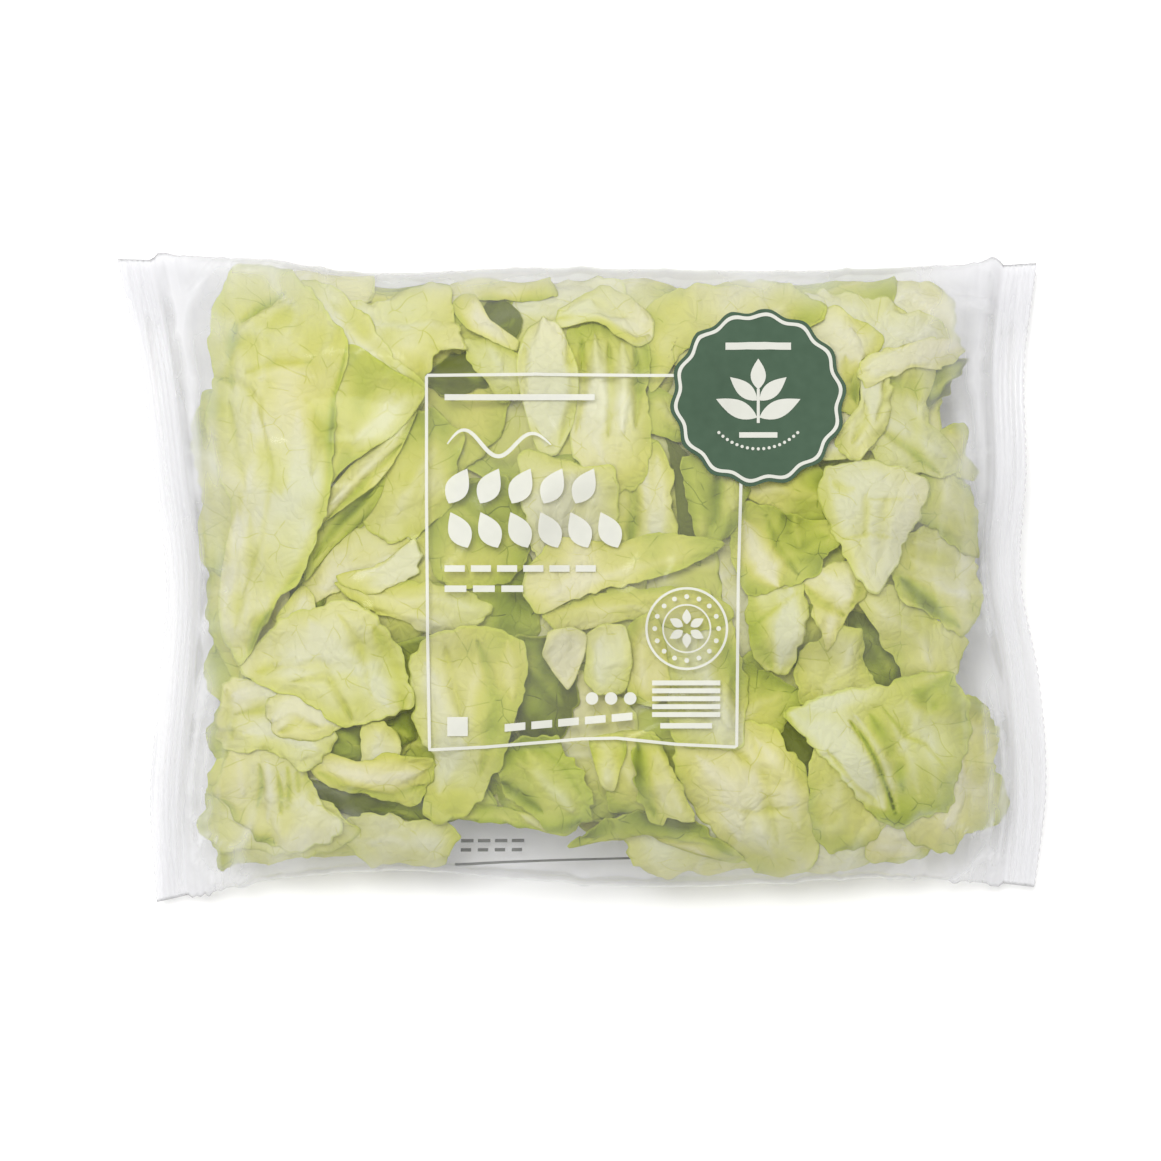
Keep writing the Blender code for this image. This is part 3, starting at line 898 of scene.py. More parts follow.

# The leaves that show, top one first. Depth grows towards the middle of the bag, tone from cream to green.
# A line is its points, its width, how far it rises, or sinks if under 0, and how much greener it is.
# Sunk lines are mostly made greener and raised ones paler: painted shade in the grooves and painted highlight
# on the ridges, besides the leaf's own veins and patches.
SHOWN_LEAVES = [
    # Left end: a large round leaf with a long tip, the leaf above it, and what lies behind their edges.
    leaf([(-127, 118), (-133, 106), (-137, 93), (-135, 77), (-137, 66), (-138, 54), (-135, 40), (-129, 31),
          (-128, 22), (-131, 10), (-133, -2), (-133, -14), (-130, -25), (-125.5, -31), (-121, -27),
          (-117, -18), (-111, -8), (-104, -1), (-100, 7), (-96, 18), (-91.5, 36), (-91, 50), (-89.5, 66),
          (-85, 86), (-92, 100), (-104, 113)], (-125, -28), (-114, 112), depth=1.2, tone=0.25, cool=0.12,
         ruffle=0.5, folds=2.0, fan=3,
         lines=[([(-86, 86), (-90, 66), (-91.5, 50), (-92, 36), (-97, 18), (-104, 2), (-113, -10),
                  (-122, -28)], 2.2, 0.5, 0.34), ([(-108, 108), (-118, 103), (-127, 96)], 1.3, -1.4, 0.26),
                ([(-106, 104), (-117, 98), (-128, 90)], 1.6, 1.2, -0.1),
                ([(-127, 98), (-129, 84), (-128, 70)], 2, -0.8, 0.24),
                ([(-123, 77), (-112, 81), (-97, 80)], 1.2, -1.0, 0.14),
                ([(-122, 73), (-110, 77), (-98, 75)], 1.5, 0.9, -0.08),
                ([(-134, 75), (-125, 73), (-118, 66), (-117, 58)], 1.3, -1.2, 0.14),
                ([(-102, 68), (-97, 62), (-96, 52), (-99, 38)], 2.2, -1.4, 0.08),
                ([(-104, 62), (-103, 46), (-107, 26)], 3, 1.6, -0.1),
                ([(-117, 60), (-113, 40), (-117, 16), (-124, -6)], 1.1, -1.0, 0.12),
                ([(-129, 66), (-126, 48), (-122, 30)], 1.4, -1.1, 0.12),
                ([(-121, 54), (-115, 44), (-110, 32)], 5, -0.6, 0.14),
                ([(-126, 26), (-127, 8), (-131, -12)], 2, 1.3, -0.12),
                ([(-121, 24), (-122, 4), (-127, -18)], 2.4, -1.3, 0.12),
                ([(-113, -11), (-122, -26)], 4, -0.6, 0.4)]),
    leaf([(-85, 88), (-76, 83), (-67, 77), (-57, 70), (-61, 62), (-69, 53), (-82, 45), (-90, 38), (-97, 26),
          (-102, 36), (-101, 56), (-97, 76)], (-95, 28), (-62, 68), depth=2.2, tone=0.5, ruffle=0.2,
         folds=0.6, fan=2, pucker=0.15, torn=0.2, dip=(215, 1.6),
         lines=[([(-84, 84), (-78, 70), (-84, 54)], 5, -0.5, 0.1),
                ([(-60, 68), (-72, 56), (-84, 46)], 5, 0.5, -0.1),
                ([(-84, 50), (-74, 60), (-68, 70)], 1.2, 0.7, -0.08)]),
    leaf([(-104, 112), (-90, 108), (-81, 100), (-73, 90), (-66, 81), (-57, 71), (-70, 64), (-84, 64),
          (-96, 80), (-104, 96)], (-84, 68), (-92, 104), depth=2.6, tone=0.34, ruffle=0.5, folds=1.2, fan=3,
         lines=[([(-92, 104), (-80, 92), (-68, 78)], 3, -0.8, 0.2),
                ([(-88, 92), (-76, 84), (-64, 76)], 3, 0.8, -0.08)]),
    leaf([(-60, 63), (-69, 55), (-81, 46), (-92, 34), (-98, 20), (-92, 23), (-84, 29), (-76, 35), (-69, 43),
          (-64, 53)], (-96, 22), (-62, 60), depth=4.6, tone=0.34, ruffle=0.3, folds=0.6, pucker=0.2, torn=0.3,
         lines=[([(-62, 60), (-76, 44), (-92, 28)], 1.6, 1.0, -0.12),
                ([(-66, 50), (-80, 36), (-94, 22)], 1.4, -1.0, 0.3)]),
    # This leaf's dark tone and green line are painted shade for the dark band beside the leaves above it.
    leaf([(-72, 38), (-74, 31), (-79, 23), (-86, 17), (-92, 11), (-97, 5), (-101, 0), (-102, 10), (-96, 20),
          (-88, 28), (-80, 36)], (-100, 3), (-74, 34), depth=7.5, tone=0.72, ruffle=0.5, folds=0.8, torn=0.4,
         lines=[([(-76, 34), (-88, 22), (-98, 8)], 2.0, -0.6, 0.3)]),
    leaf([(-142, 60), (-138, 72), (-122, 70), (-112, 45), (-118, 12), (-128, 2), (-138, 6), (-141, 14),
          (-140, 24), (-138, 32), (-142, 40)], (-120, 10), (-138, 66), depth=5.5, tone=0.52, ruffle=1.0,
         folds=1.4),
    # Lower left: a broad leaf with a yellow side, the rolled ruffles under it, and the corner's cluster.
    leaf([(-100, -9), (-88, -6), (-79, -10), (-73, -17), (-66, -26), (-63, -36), (-61, -46), (-69, -50),
          (-79, -53), (-88, -55), (-97, -48), (-105, -42), (-118, -38), (-126, -31), (-116, -20),
          (-110, -13)], (-112, -34), (-66, -30), depth=2.0, tone=0.21, ruffle=1.0, folds=2.2, fan=5,
         lines=[([(-112, -31), (-96, -25), (-82, -30), (-71, -46)], 3, 1.6, -0.16),
                ([(-76, -17), (-68, -33), (-65, -48)], 4, -0.5, 0.28),
                ([(-106, -37), (-93, -35), (-84, -51)], 1.8, -1.8, 0.2),
                ([(-89, -12), (-81, -24), (-77, -42)], 1.8, -1.4, 0.16),
                ([(-100, -14), (-92, -30)], 2.4, 1.2, -0.1), ([(-119, -34), (-104, -28)], 2, -1.2, 0.16)]),
    leaf([(-112, -14), (-103, -2), (-98, -6), (-97, -20), (-108, -20)], (-110, -14), (-98, -8), depth=4.5,
         tone=0.38, ruffle=0.2, folds=0.6, torn=0.2),
    leaf([(-116, -46), (-110, -40), (-101, -39), (-93, -44), (-87, -52), (-93, -57), (-103, -58),
          (-113, -57)], (-114, -54), (-88, -50), depth=1.8, tone=0.16, ruffle=0.6, folds=1.4, fan=4, cup=1.0,
         lines=[([(-114, -52), (-107, -46), (-98, -47), (-89, -54)], 2.2, 1.6, -0.12),
                ([(-111, -56), (-104, -52), (-96, -54)], 1.8, -1.8, 0.26)]),
    leaf([(-118, -37), (-130, -36), (-133, -48), (-134, -60), (-127, -64), (-118, -62), (-110, -65),
          (-101, -71), (-94, -66), (-90, -57), (-96, -46), (-106, -40)], (-98, -60), (-132, -50), depth=2.6,
         tone=0.2, ruffle=1.8, folds=2.6, fan=6,
         lines=[([(-128, -42), (-113, -40), (-98, -46)], 2.2, 1.8, -0.22),
                ([(-127, -49), (-112, -47), (-98, -55)], 1.8, -1.8, 0.26),
                ([(-124, -56), (-109, -54), (-97, -62)], 2, 1.6, -0.16),
                ([(-130, -40), (-128, -58)], 2, -1.2, 0.16)]),
    leaf([(-100, -70), (-97, -62), (-91, -64), (-86, -66), (-78, -66), (-70, -63), (-62, -65), (-55, -66),
          (-54, -72), (-57, -79), (-63, -83), (-75, -82), (-88, -79), (-96, -75)], (-98, -70), (-56, -74),
         depth=2.4, tone=0.26, ruffle=0.8, folds=1.2, fan=4, cup=1.2,
         lines=[([(-97, -72), (-84, -77), (-70, -79), (-58, -77)], 2.2, -1.0, 0.2),
                ([(-98, -67), (-84, -71), (-70, -73), (-57, -70)], 3.0, 1.8, -0.14)]),
    leaf([(-80, -53), (-72, -52), (-66, -60), (-68, -70), (-80, -70), (-82, -60)], (-76, -70), (-76, -54),
         depth=3.6, tone=0.4, ruffle=0.6, folds=0.8),
    leaf([(-128, -61), (-118, -60), (-110, -64), (-103, -69), (-98, -76), (-94, -85), (-88, -90), (-92, -98),
          (-105, -101), (-118, -99), (-126, -90), (-134, -80), (-132, -69)], (-108, -98), (-118, -62),
         depth=2.2, tone=0.12, ruffle=1.2, folds=1.8, fan=5,
         lines=[([(-118, -68), (-117, -78), (-119, -88)], 1.0, -1.3, 0.36),
                ([(-115, -67), (-114, -80), (-115, -91)], 1.3, 1.2, -0.12),
                ([(-111.5, -71), (-110, -80), (-110, -88)], 0.9, -1.3, 0.36),
                ([(-108, -69), (-107, -77), (-107.5, -86)], 1.0, -1.3, 0.34),
                ([(-104.5, -71), (-103.5, -80)], 0.9, -1.2, 0.32),
                ([(-101, -72), (-98, -84)], 2.4, -1.0, 0.28), ([(-126, -66), (-124, -80)], 1.6, 1.2, -0.1),
                ([(-131, -84), (-126, -95)], 5, -0.4, 0.28), ([(-124, -97), (-112, -99)], 2.0, -0.4, 0.3)]),
    leaf([(-132, -66), (-138, -76), (-138, -88), (-141, -93), (-139, -99), (-128, -102), (-110, -104),
          (-92, -103), (-82, -97), (-88, -86), (-104, -80), (-118, -70)], (-88, -92), (-136, -88), depth=4.5,
         tone=0.42, ruffle=1.4, folds=2.0),
    # Lower middle: a broad leaf inside the printed frame, and green tips along the near side.
    leaf([(-64, -30), (-57, -22), (-44, -17), (-30, -17), (-21, -21), (-19, -30), (-21, -45), (-27, -60),
          (-31, -71), (-35, -79), (-43, -87), (-52, -90), (-60, -86), (-56, -76), (-54, -66), (-62, -56),
          (-60, -44)], (-50, -86), (-34, -20), depth=2.2, tone=0.38, ruffle=0.5, folds=1.8, fan=3,
         lines=[([(-57, -30), (-50, -54), (-52, -80)], 4, 1.4, -0.14),
                ([(-38, -22), (-31, -45), (-37, -72)], 2.6, -1.4, 0.18),
                ([(-27, -22), (-25, -44)], 2, 1.2, -0.12), ([(-50, -24), (-44, -50)], 2, -1.2, 0.12)]),
    leaf([(-31, -72), (-28, -60), (-12, -57), (-4, -64), (2, -73), (5, -82), (4, -90), (-4, -92), (-12, -93),
          (-20, -88), (-28, -82)], (-24, -62), (0, -88), depth=3.0, tone=0.52, cool=0.45, ruffle=0.6,
         folds=1.0, fan=3, torn=1.2,
         lines=[([(-20, -62), (-12, -74), (-3, -86)], 3, 1.0, -0.12),
                ([(-31, -75), (-23, -80), (-14, -87)], 2.4, -0.9, 0.3),
                ([(-22, -89), (-12, -92), (0, -90)], 1.8, 0.8, 0.2),
                ([(-16, -60), (-6, -70), (1, -82)], 1.0, -0.6, 0.12)]),
    leaf([(-34, -74), (-30, -86), (-22, -88), (-14, -89), (-8, -93), (-12, -96), (-24, -95), (-36, -93),
          (-48, -92), (-54, -88), (-44, -82)], (-48, -88), (-14, -98), depth=5.5, tone=0.74, ruffle=1.0,
         folds=1.4,
         lines=[([(-22, -89), (-15, -93), (-10, -98)], 2.0, 1.4, -0.3)]),
    leaf([(-88, -92), (-80, -89), (-70, -88), (-62, -91), (-50, -94), (-44, -100), (-50, -108), (-64, -109),
          (-76, -107), (-86, -101)], (-82, -98), (-48, -100), depth=3.4, tone=0.3, ruffle=1.2, folds=1.4),
    leaf([(3, -58), (15, -56), (17, -62), (14, -72), (12, -79), (8, -77), (5, -69)], (9, -58), (11, -78),
         depth=3.2, tone=0.42, ruffle=0.3, folds=0.6, torn=0.2),
    leaf([(20, -58), (28, -58), (33, -67), (37, -78), (41, -89), (35, -90), (25, -88), (21, -80), (20, -69)],
         (24, -60), (34, -88), depth=2.4, tone=0.36, ruffle=0.7, folds=1.2, torn=1.4,
         lines=[([(21, -60), (22, -74), (27, -88)], 3.6, -0.8, 0.34),
                ([(28, -62), (32, -74), (37, -86)], 2.4, 1.0, -0.14)]),
    leaf([(-8, -104), (0, -98), (10, -91), (22, -87), (35, -87), (43, -91), (51, -98), (59, -107), (46, -111),
          (35, -106), (26, -99), (14, -99), (4, -103)], (54, -104), (4, -98), depth=3.4, tone=0.62,
         ruffle=0.9, folds=1.0, cup=2.5,
         lines=[([(0, -98), (14, -92), (30, -89), (43, -93), (55, -104)], 3.0, 1.2, 0.2),
                ([(8, -101), (24, -99), (38, -101), (50, -107)], 3.0, -1.4, -0.34)]),
    # Middle, inside the frame: pale petals and the shadows between them.
    leaf([(-12, -19), (-4, -17), (2, -20), (1, -28), (-2, -36), (-5, -40), (-10, -34), (-14, -27)], (-5, -18),
         (-5, -38), depth=2.6, tone=0.2, ruffle=0.3, folds=0.6, torn=0.2),
    leaf([(1, -20), (8, -16), (16, -17), (19, -29), (16, -41), (6, -42), (1, -36), (2, -28)], (8, -18),
         (9, -40), depth=3.6, tone=0.22, ruffle=0.3, folds=0.8, torn=0.2),
    leaf([(17, -18), (27, -11), (31, -24), (33, -40), (26, -46), (17, -42)], (22, -14), (25, -44), depth=4.6,
         tone=0.5, ruffle=0.4, folds=0.8, torn=0.3),
    leaf([(-16, -13), (0, -6), (20, -1), (42, 6), (52, 14), (34, 18), (8, 14), (-8, 16), (-20, 4), (-22, -6)],
         (48, 12), (-16, -6), depth=3.0, tone=0.4, ruffle=0.5, folds=1.4, dip=(90, 1.5)),
    leaf([(-14, -12), (6, -4), (26, -2), (46, -2), (56, -14), (40, -20), (18, -14), (4, -20), (-10, -18)],
         (50, -10), (-10, -14), depth=5.0, tone=0.4, ruffle=0.5, folds=1.2),
    leaf([(30, -10), (45, -7), (56, -14), (61, -38), (60, -60), (44, -63), (34, -58), (30, -40)], (50, -60),
         (44, -10), depth=3.8, tone=0.36, ruffle=0.4, folds=1.2,
         lines=[([(36, -14), (44, -32), (54, -54)], 3, 1.4, -0.14),
                ([(48, -12), (54, -28), (58, -48)], 2.6, -1.4, 0.18),
                ([(32, -26), (38, -50)], 2.2, -1.2, 0.16)]),
    leaf([(-22, 46), (-12, 46), (0, 43), (12, 41), (13, 22), (4, 5), (-8, -1), (-17, 8), (-21, 26)], (-4, 2),
         (-6, 44), depth=3.6, tone=0.36, ruffle=0.4, folds=1.2),
    leaf([(-90, 4), (-80, 4), (-72, 7), (-66, 12), (-62, 17), (-59, 9), (-61, 2), (-69, -3), (-78, -5),
          (-87, -2)], (-86, 1), (-62, 12), depth=3.0, tone=0.14, ruffle=0.5, folds=1.2, cup=2.0),
    leaf([(-90, -1), (-76, 0), (-60, 0), (-42, -3), (-32, -10), (-40, -17), (-55, -20), (-70, -14),
          (-82, -10)], (-86, -4), (-38, -11), depth=5.0, tone=0.26, ruffle=0.5, folds=1.2),
    leaf([(-73, 40), (-62, 59), (-54, 63), (-44, 52), (-48, 27), (-58, 18), (-70, 15), (-79, 20), (-78, 31)],
         (-72, 20), (-52, 58), depth=5.0, tone=0.44, ruffle=0.7, folds=1.6, pucker=0.9),
    leaf([(-97, 6), (-86, 17), (-76, 22), (-64, 16), (-60, 6), (-74, 0), (-90, -4), (-101, -10), (-104, -4)],
         (-100, -4), (-66, 12), depth=8.0, tone=0.4, ruffle=0.4, folds=1.0),
    # Top: pale petals, a curled leaf with a hollow, and ruffles along the far side.
    leaf([(-22, 90), (-19, 96), (-13, 98), (-8, 95), (-4, 87), (-1, 78), (-1, 68), (-3, 57), (-9, 46),
          (-16, 47), (-20, 60), (-24, 78)], (-14, 106), (-12, 50), depth=1.6, tone=0.1, ruffle=0.3, folds=1.4,
         fan=2, torn=0.2, cup=2.0,
         lines=[([(-14, 98), (-13, 72), (-13, 50)], 4, 1.6, -0.08),
                ([(-5, 88), (-3, 66), (-8, 50)], 2.4, -1.4, 0.2), ([(-21, 88), (-21, 66)], 2.2, -1.2, 0.14)]),
    leaf([(-87, 104), (-75, 105), (-60, 110), (-48, 108), (-46, 99), (-43, 90), (-44, 86), (-52, 85),
          (-57, 78), (-60, 70), (-74, 76), (-90, 90)], (-84, 96), (-48, 92), depth=3.4, tone=0.24, ruffle=0.7,
         folds=1.6, torn=1.0),
    leaf([(-48, 104), (-43, 109), (-38, 108), (-36, 102), (-33, 97), (-27, 93.5), (-23, 92), (-24, 87),
          (-29, 88), (-36, 91), (-42, 95)], (-45, 104), (-26, 89), depth=2.6, tone=0.34, ruffle=0.4,
         folds=1.0, torn=0.3, cup=1.6,
         lines=[([(-46, 103), (-41, 97), (-34, 93), (-26, 89.5)], 1.8, 1.6, 0.12),
                ([(-40, 106), (-38, 100), (-33, 96)], 1.5, -0.8, -0.16)]),
    leaf([(-52, 105), (-48, 113), (-30, 115), (-12, 113), (-8, 107), (-22, 106.5), (-36, 107)], (-50, 108),
         (-10, 110), depth=3.6, tone=0.3, cup=1.6, ruffle=0.5, folds=0.8),
    leaf([(-44, 91), (-36, 92), (-26, 89), (-21, 82), (-22, 70), (-30, 66), (-36, 74), (-41, 82)], (-28, 70),
         (-38, 90), depth=4.4, tone=0.42, ruffle=0.4, folds=1.2),
    leaf([(-9, 101), (0, 106), (9, 110), (17, 108), (25, 101), (27, 92), (21, 87), (14, 90), (6, 95),
          (-2, 95), (-8, 93)], (-6, 98), (24, 94), depth=2.4, tone=0.24, ruffle=0.5, folds=1.2, fan=4,
         cup=1.0, torn=0.5,
         lines=[([(-9, 98), (-2, 97.5), (6, 97), (13, 92.5), (20, 89), (25, 92)], 1.9, 1.5, 0.3),
                ([(4, 104), (10, 100), (17, 100)], 2.6, -1.0, 0.08),
                ([(20, 104), (24, 96)], 1.8, 1.0, -0.06)]),
    leaf([(-6, 94), (5, 98), (14, 96), (24, 92), (25, 72), (26, 50), (22, 34), (10, 31), (0, 40), (-4, 55),
          (-7, 72)], (10, 34), (8, 94), depth=4.2, tone=0.34, ruffle=0.5, folds=1.6, fan=4,
         lines=[([(0, 92), (1, 70), (-2, 54)], 1.6, -1.6, 0.2),
                ([(5, 92), (6, 72), (3, 54)], 1.8, 1.6, -0.14),
                ([(10, 90), (11, 70), (10, 52)], 1.6, -1.6, 0.2),
                ([(15, 90), (16, 70), (15, 54)], 1.8, 1.6, -0.14),
                ([(20, 88), (21, 70), (20, 56)], 1.6, -1.6, 0.22)]),
    leaf([(25, 106), (45, 110), (62, 112), (78, 110), (90, 102), (84, 92), (62, 84), (46, 88), (36, 84),
          (34, 70), (28, 58), (24, 72), (24, 90)], (30, 62), (74, 106), depth=3.0, tone=0.36, ruffle=0.8,
         folds=1.8),
    leaf([(26, 72), (40, 66), (42, 52), (26, 53), (23, 60)], (40, 56), (26, 66), depth=5.0, tone=0.6,
         ruffle=0.3, folds=0.6),
    leaf([(18, 52), (28, 50), (33, 40), (34, 25), (36, 10), (28, 4), (15, 7), (10, 25), (13, 42)], (26, 8),
         (24, 48), depth=4.4, tone=0.4, ruffle=0.5, folds=2.2, fan=5,
         lines=[([(16, 46), (20, 30), (18, 12)], 2.6, -2.0, 0.34),
                ([(28, 46), (30, 28), (27, 12)], 2.6, 1.6, -0.16), ([(23, 48), (24, 26)], 1.6, 1.2, -0.1)]),
    leaf([(37, 46), (46, 46), (58, 42), (62, 32), (58, 22), (52, 14), (44, 9), (41, 18), (38, 31)], (46, 12),
         (54, 42), depth=5.0, tone=0.52, ruffle=0.5, folds=1.2,
         lines=[([(50, 40), (50, 24), (45, 12)], 2.4, -1.4, 0.2), ([(56, 38), (56, 26)], 2.6, 1.2, -0.14)]),
    # Right end: an arching ruffle, a large shell, a green leaf beside it, and smaller bits at the edge.
    leaf([(101, 76), (104, 82), (115, 87), (128, 89), (138, 90), (142, 86), (138, 83), (134, 80), (130, 78),
          (122, 79), (117, 76), (111, 74), (106, 70)], (102, 76), (140, 87), depth=1.8, tone=0.14, ruffle=1.4,
         folds=1.2, fan=5, torn=1.2,
         lines=[([(104, 78), (116, 83), (130, 86), (140, 87)], 2.2, 1.4, -0.1),
                ([(108, 74), (118, 79), (128, 80)], 1.2, -1.0, 0.14)]),
    leaf([(103, 78), (108, 81), (113, 76), (114, 70), (115, 62), (110, 54), (105, 48), (100, 45), (95, 48),
          (95, 53), (99, 60), (103, 66), (101, 72)], (104, 76), (98, 48), depth=2.2, tone=0.14, ruffle=1.4,
         folds=1.4, fan=5, torn=1.2,
         lines=[([(107, 78), (108, 68), (106, 58), (101, 49)], 2.0, 1.6, -0.1),
                ([(111, 74), (111, 66), (108, 58)], 1.3, -1.8, 0.2),
                ([(104, 66), (105, 58), (99, 50)], 1.4, -1.2, 0.16)]),
    leaf([(84, 100), (94, 104), (104, 98), (112, 90), (104, 82), (102, 70), (101, 62), (94, 62), (86, 76),
          (82, 90)], (96, 64), (96, 102), depth=3.4, tone=0.28, ruffle=0.8, folds=1.4,
         lines=[([(99, 94), (102, 86), (104, 78)], 1.4, 1.2, -0.3),
                ([(97, 84), (99, 74), (101, 66)], 3.4, -1.2, 0.34)]),
    leaf([(82, 110), (95, 109), (110, 107), (126, 102), (139, 93), (140, 86), (122, 84), (104, 86), (90, 90),
          (82, 98)], (90, 96), (134, 94), depth=4.2, tone=0.2, ruffle=1.0, folds=1.6),
    leaf([(90, 42), (104, 45), (118, 42), (127, 38), (128, 32), (124, 24), (120, 16), (117, 8), (112, -1),
          (107, -6), (101, 2), (96, 10), (91, 22), (87, 34)], (108, -4), (106, 46), depth=1.6, tone=0.05,
         ruffle=0.8, folds=1.4, fan=3, torn=0.8,
         lines=[([(104, 32), (105, 24), (104, 16)], 1.5, -0.5, 0.16),
                ([(92, 36), (97, 33), (101, 34)], 1.8, -0.7, 0.2),
                ([(105, 30), (114, 29.5), (124, 31)], 0.7, -0.5, 0.2),
                ([(95, 15), (106, 17), (118, 15)], 0.7, -0.5, 0.2),
                ([(121, 36), (120, 24), (113, 8)], 2.2, 1.0, -0.08),
                ([(91, 38), (97, 18), (104, 2)], 2.4, 1.2, -0.1),
                ([(112, 30), (110, 14), (107, 2)], 3, -0.9, 0.08)]),
    leaf([(96, 62), (104, 65), (112, 61), (111, 55), (106, 49), (95, 44), (86, 46), (90, 56)], (90, 48),
         (108, 60), depth=3.4, tone=0.13, ruffle=1.0, folds=1.4),
    leaf([(110, 78), (120, 82), (130, 80), (131, 72), (127, 66), (128, 58), (136, 50), (140, 41), (130, 37),
          (114, 40), (106, 50), (110, 64)], (128, 42), (120, 80), depth=4.4, tone=0.22, ruffle=1.0, folds=1.2,
         lines=[([(109, 56), (118, 50), (132, 39)], 1.6, -1.6, 0.34),
                ([(110, 60), (120, 55), (134, 45)], 2, 1.2, -0.1),
                ([(112, 76), (120, 72), (126, 66)], 3, -0.8, 0.16)]),
    leaf([(126, 72), (129, 79), (137, 85), (142, 84), (138, 77), (134, 73), (131, 66), (127, 63)], (128, 66),
         (139, 83), depth=4.6, tone=0.84, cool=-0.4, ruffle=0.8, folds=0.8, torn=1.2),
    leaf([(132, 54), (137, 58), (142, 55), (141, 46), (147, 42), (144, 36), (136, 40)], (142, 38), (136, 57),
         depth=5.0, tone=0.46, ruffle=0.8, folds=1.0),
    leaf([(126, 40), (134, 42), (141, 36), (146, 26), (146, 10), (141, 10), (132, 18), (124, 24), (120, 32)],
         (144, 14), (130, 40), depth=4.0, tone=0.28, ruffle=1.8, folds=2.0, fan=6),
    leaf([(118, 16), (130, 22), (141, 24), (146, 10), (147, -4), (145, -13), (140, -21), (130, -14),
          (117, -5), (114, 6)], (120, 4), (146, -6), depth=4.4, tone=0.4, ruffle=0.7, folds=1.2,
         lines=[([(121, 8), (131, 1), (143, -7)], 3, 0.9, -0.14),
                ([(117, 1), (126, -6.5), (139, -17)], 3.0, -0.2, 0.32),
                ([(116, -6), (124, -11.5), (135, -18)], 1.2, 0.5, -0.2),
                ([(122, 14), (134, 12), (145, 4)], 2.4, 1.0, -0.1)]),
    leaf([(62, 28), (72, 26), (82, 23), (92, 22), (96, 15), (91, 8), (86, 1), (72, -3), (60, -6), (55, 8),
          (57, 22)], (60, 2), (92, 16), depth=3.6, tone=0.7, cool=-0.2, ruffle=0.9, folds=1.2, fan=4,
         pucker=0.6,
         lines=[([(60, 22), (64, 10), (72, -2)], 4, 0.8, -0.5),
                ([(74, 24), (82, 14), (90, 16)], 7, -0.4, 0.28),
                ([(68, 24), (72, 12), (80, 2)], 1.4, -1.2, 0.2), ([(78, 24), (80, 12)], 1.4, 1.0, -0.1)]),
    leaf([(58, 34), (70, 38), (84, 42), (94, 34), (92, 22), (80, 20), (68, 25)], (90, 28), (62, 34),
         depth=3.2, tone=0.56, ruffle=0.5, folds=1.0),
    leaf([(62, 1), (72, 3), (81, 0), (83, -10), (81, -21), (77, -32), (71, -36), (64, -29), (60, -15)],
         (72, 0), (73, -33), depth=2.4, tone=0.34, ruffle=0.5, folds=1.2, fan=3,
         lines=[([(62, -4), (65, -18), (70, -32)], 4, -0.6, 0.28),
                ([(77, -2), (77, -18), (73, -32)], 4, 1.2, -0.2),
                ([(64, -16), (72, -10), (80, -4)], 0.9, -0.6, 0.2)]),
    leaf([(81, 2), (94, 7), (104, 6), (104, -4), (98, -12), (94, -20), (90, -28), (88, -16), (83, -8)],
         (100, 2), (90, -24), depth=3.2, tone=0.22, cool=-0.3, ruffle=0.9, folds=1.4,
         lines=[([(82, -2), (88, -8), (97, -13)], 2.0, -1.6, 0.3),
                ([(88, 3), (95, -3), (101, -8)], 1.8, 1.2, -0.1),
                ([(99, 5), (102, -3), (99, -10)], 1.6, -0.8, 0.3)]),
    # Lower right: a fan-ribbed green leaf, pale ones above and beside it, and a wide one towards the middle.
    leaf([(74, -48), (90, -42), (110, -38), (133, -33), (138, -37), (143, -46), (144, -58), (141, -66),
          (138, -74), (136, -85), (126, -89), (117, -91), (109, -89), (100, -80), (90, -68), (80, -56)],
         (132, -36), (108, -88), depth=1.8, tone=0.54, cool=0.5, ruffle=0.9, folds=2.4, fan=6, rib=0.4,
         lines=[([(76, -49), (92, -44), (112, -39), (134, -34)], 3.6, 0.9, -0.36),
                ([(78, -50), (92, -60), (104, -76), (111, -84)], 8, 1.0, -0.42),
                ([(98, -51), (104, -58.5), (108, -66), (111.6, -76), (115, -86)], 1.1, -1.3, 0.6),
                ([(100.3, -49), (105.8, -57), (110.3, -65), (114, -76), (116.5, -86)], 1.2, 1.2, -0.16),
                ([(106, -49), (112, -59), (116, -67), (118, -78)], 2.6, -0.5, 0.26),
                ([(110, -46), (119, -57), (126, -60), (133, -68)], 0.8, -0.8, 0.24),
                ([(114, -52), (121, -66), (124, -80)], 1.4, 1.0, -0.12),
                ([(119, -44), (128, -60), (130, -78)], 2.6, 1.2, -0.1),
                ([(122, -40), (127, -45), (131, -47)], 3, -1.2, 0.16),
                ([(90, -62), (101, -76), (110, -84)], 1.0, -0.6, 0.3)]),
    leaf([(83, -24), (95, -16), (103, -19), (104, -31), (109, -38), (112, -44), (94, -48), (80, -44),
          (78, -34)], (92, -44), (98, -18), depth=4.2, tone=0.42, ruffle=0.6, folds=1.2),
    leaf([(100, -4), (118, -3), (130, -12), (141, -22), (137, -36), (120, -37), (116, -30), (110, -20)],
         (132, -34), (106, -6), depth=4.6, tone=0.26, ruffle=0.5, folds=1.4),
    leaf([(136, -38), (150, -47), (155, -57), (152, -67), (155, -77), (156, -86), (151, -92), (142, -93),
          (136, -101), (124, -102), (116, -94), (128, -80), (132, -60)], (134, -52), (146, -88), depth=4.0,
         tone=0.46, cool=-0.2, ruffle=1.6, folds=2.0, torn=1.2,
         lines=[([(139, -64), (139, -80), (134, -92)], 2.2, 1.8, -0.24)]),
    leaf([(86, -60), (92, -66), (102, -78), (114, -87), (108, -99), (98, -103), (88, -100), (82, -88),
          (84, -70)], (90, -98), (96, -72), depth=4.0, tone=0.5, ruffle=0.6, folds=1.2),
    leaf([(110, -88), (120, -91), (131, -100), (120, -106), (106, -108), (104, -100)], (126, -98),
         (108, -102), depth=5.0, tone=0.3, ruffle=1.0, folds=1.2),
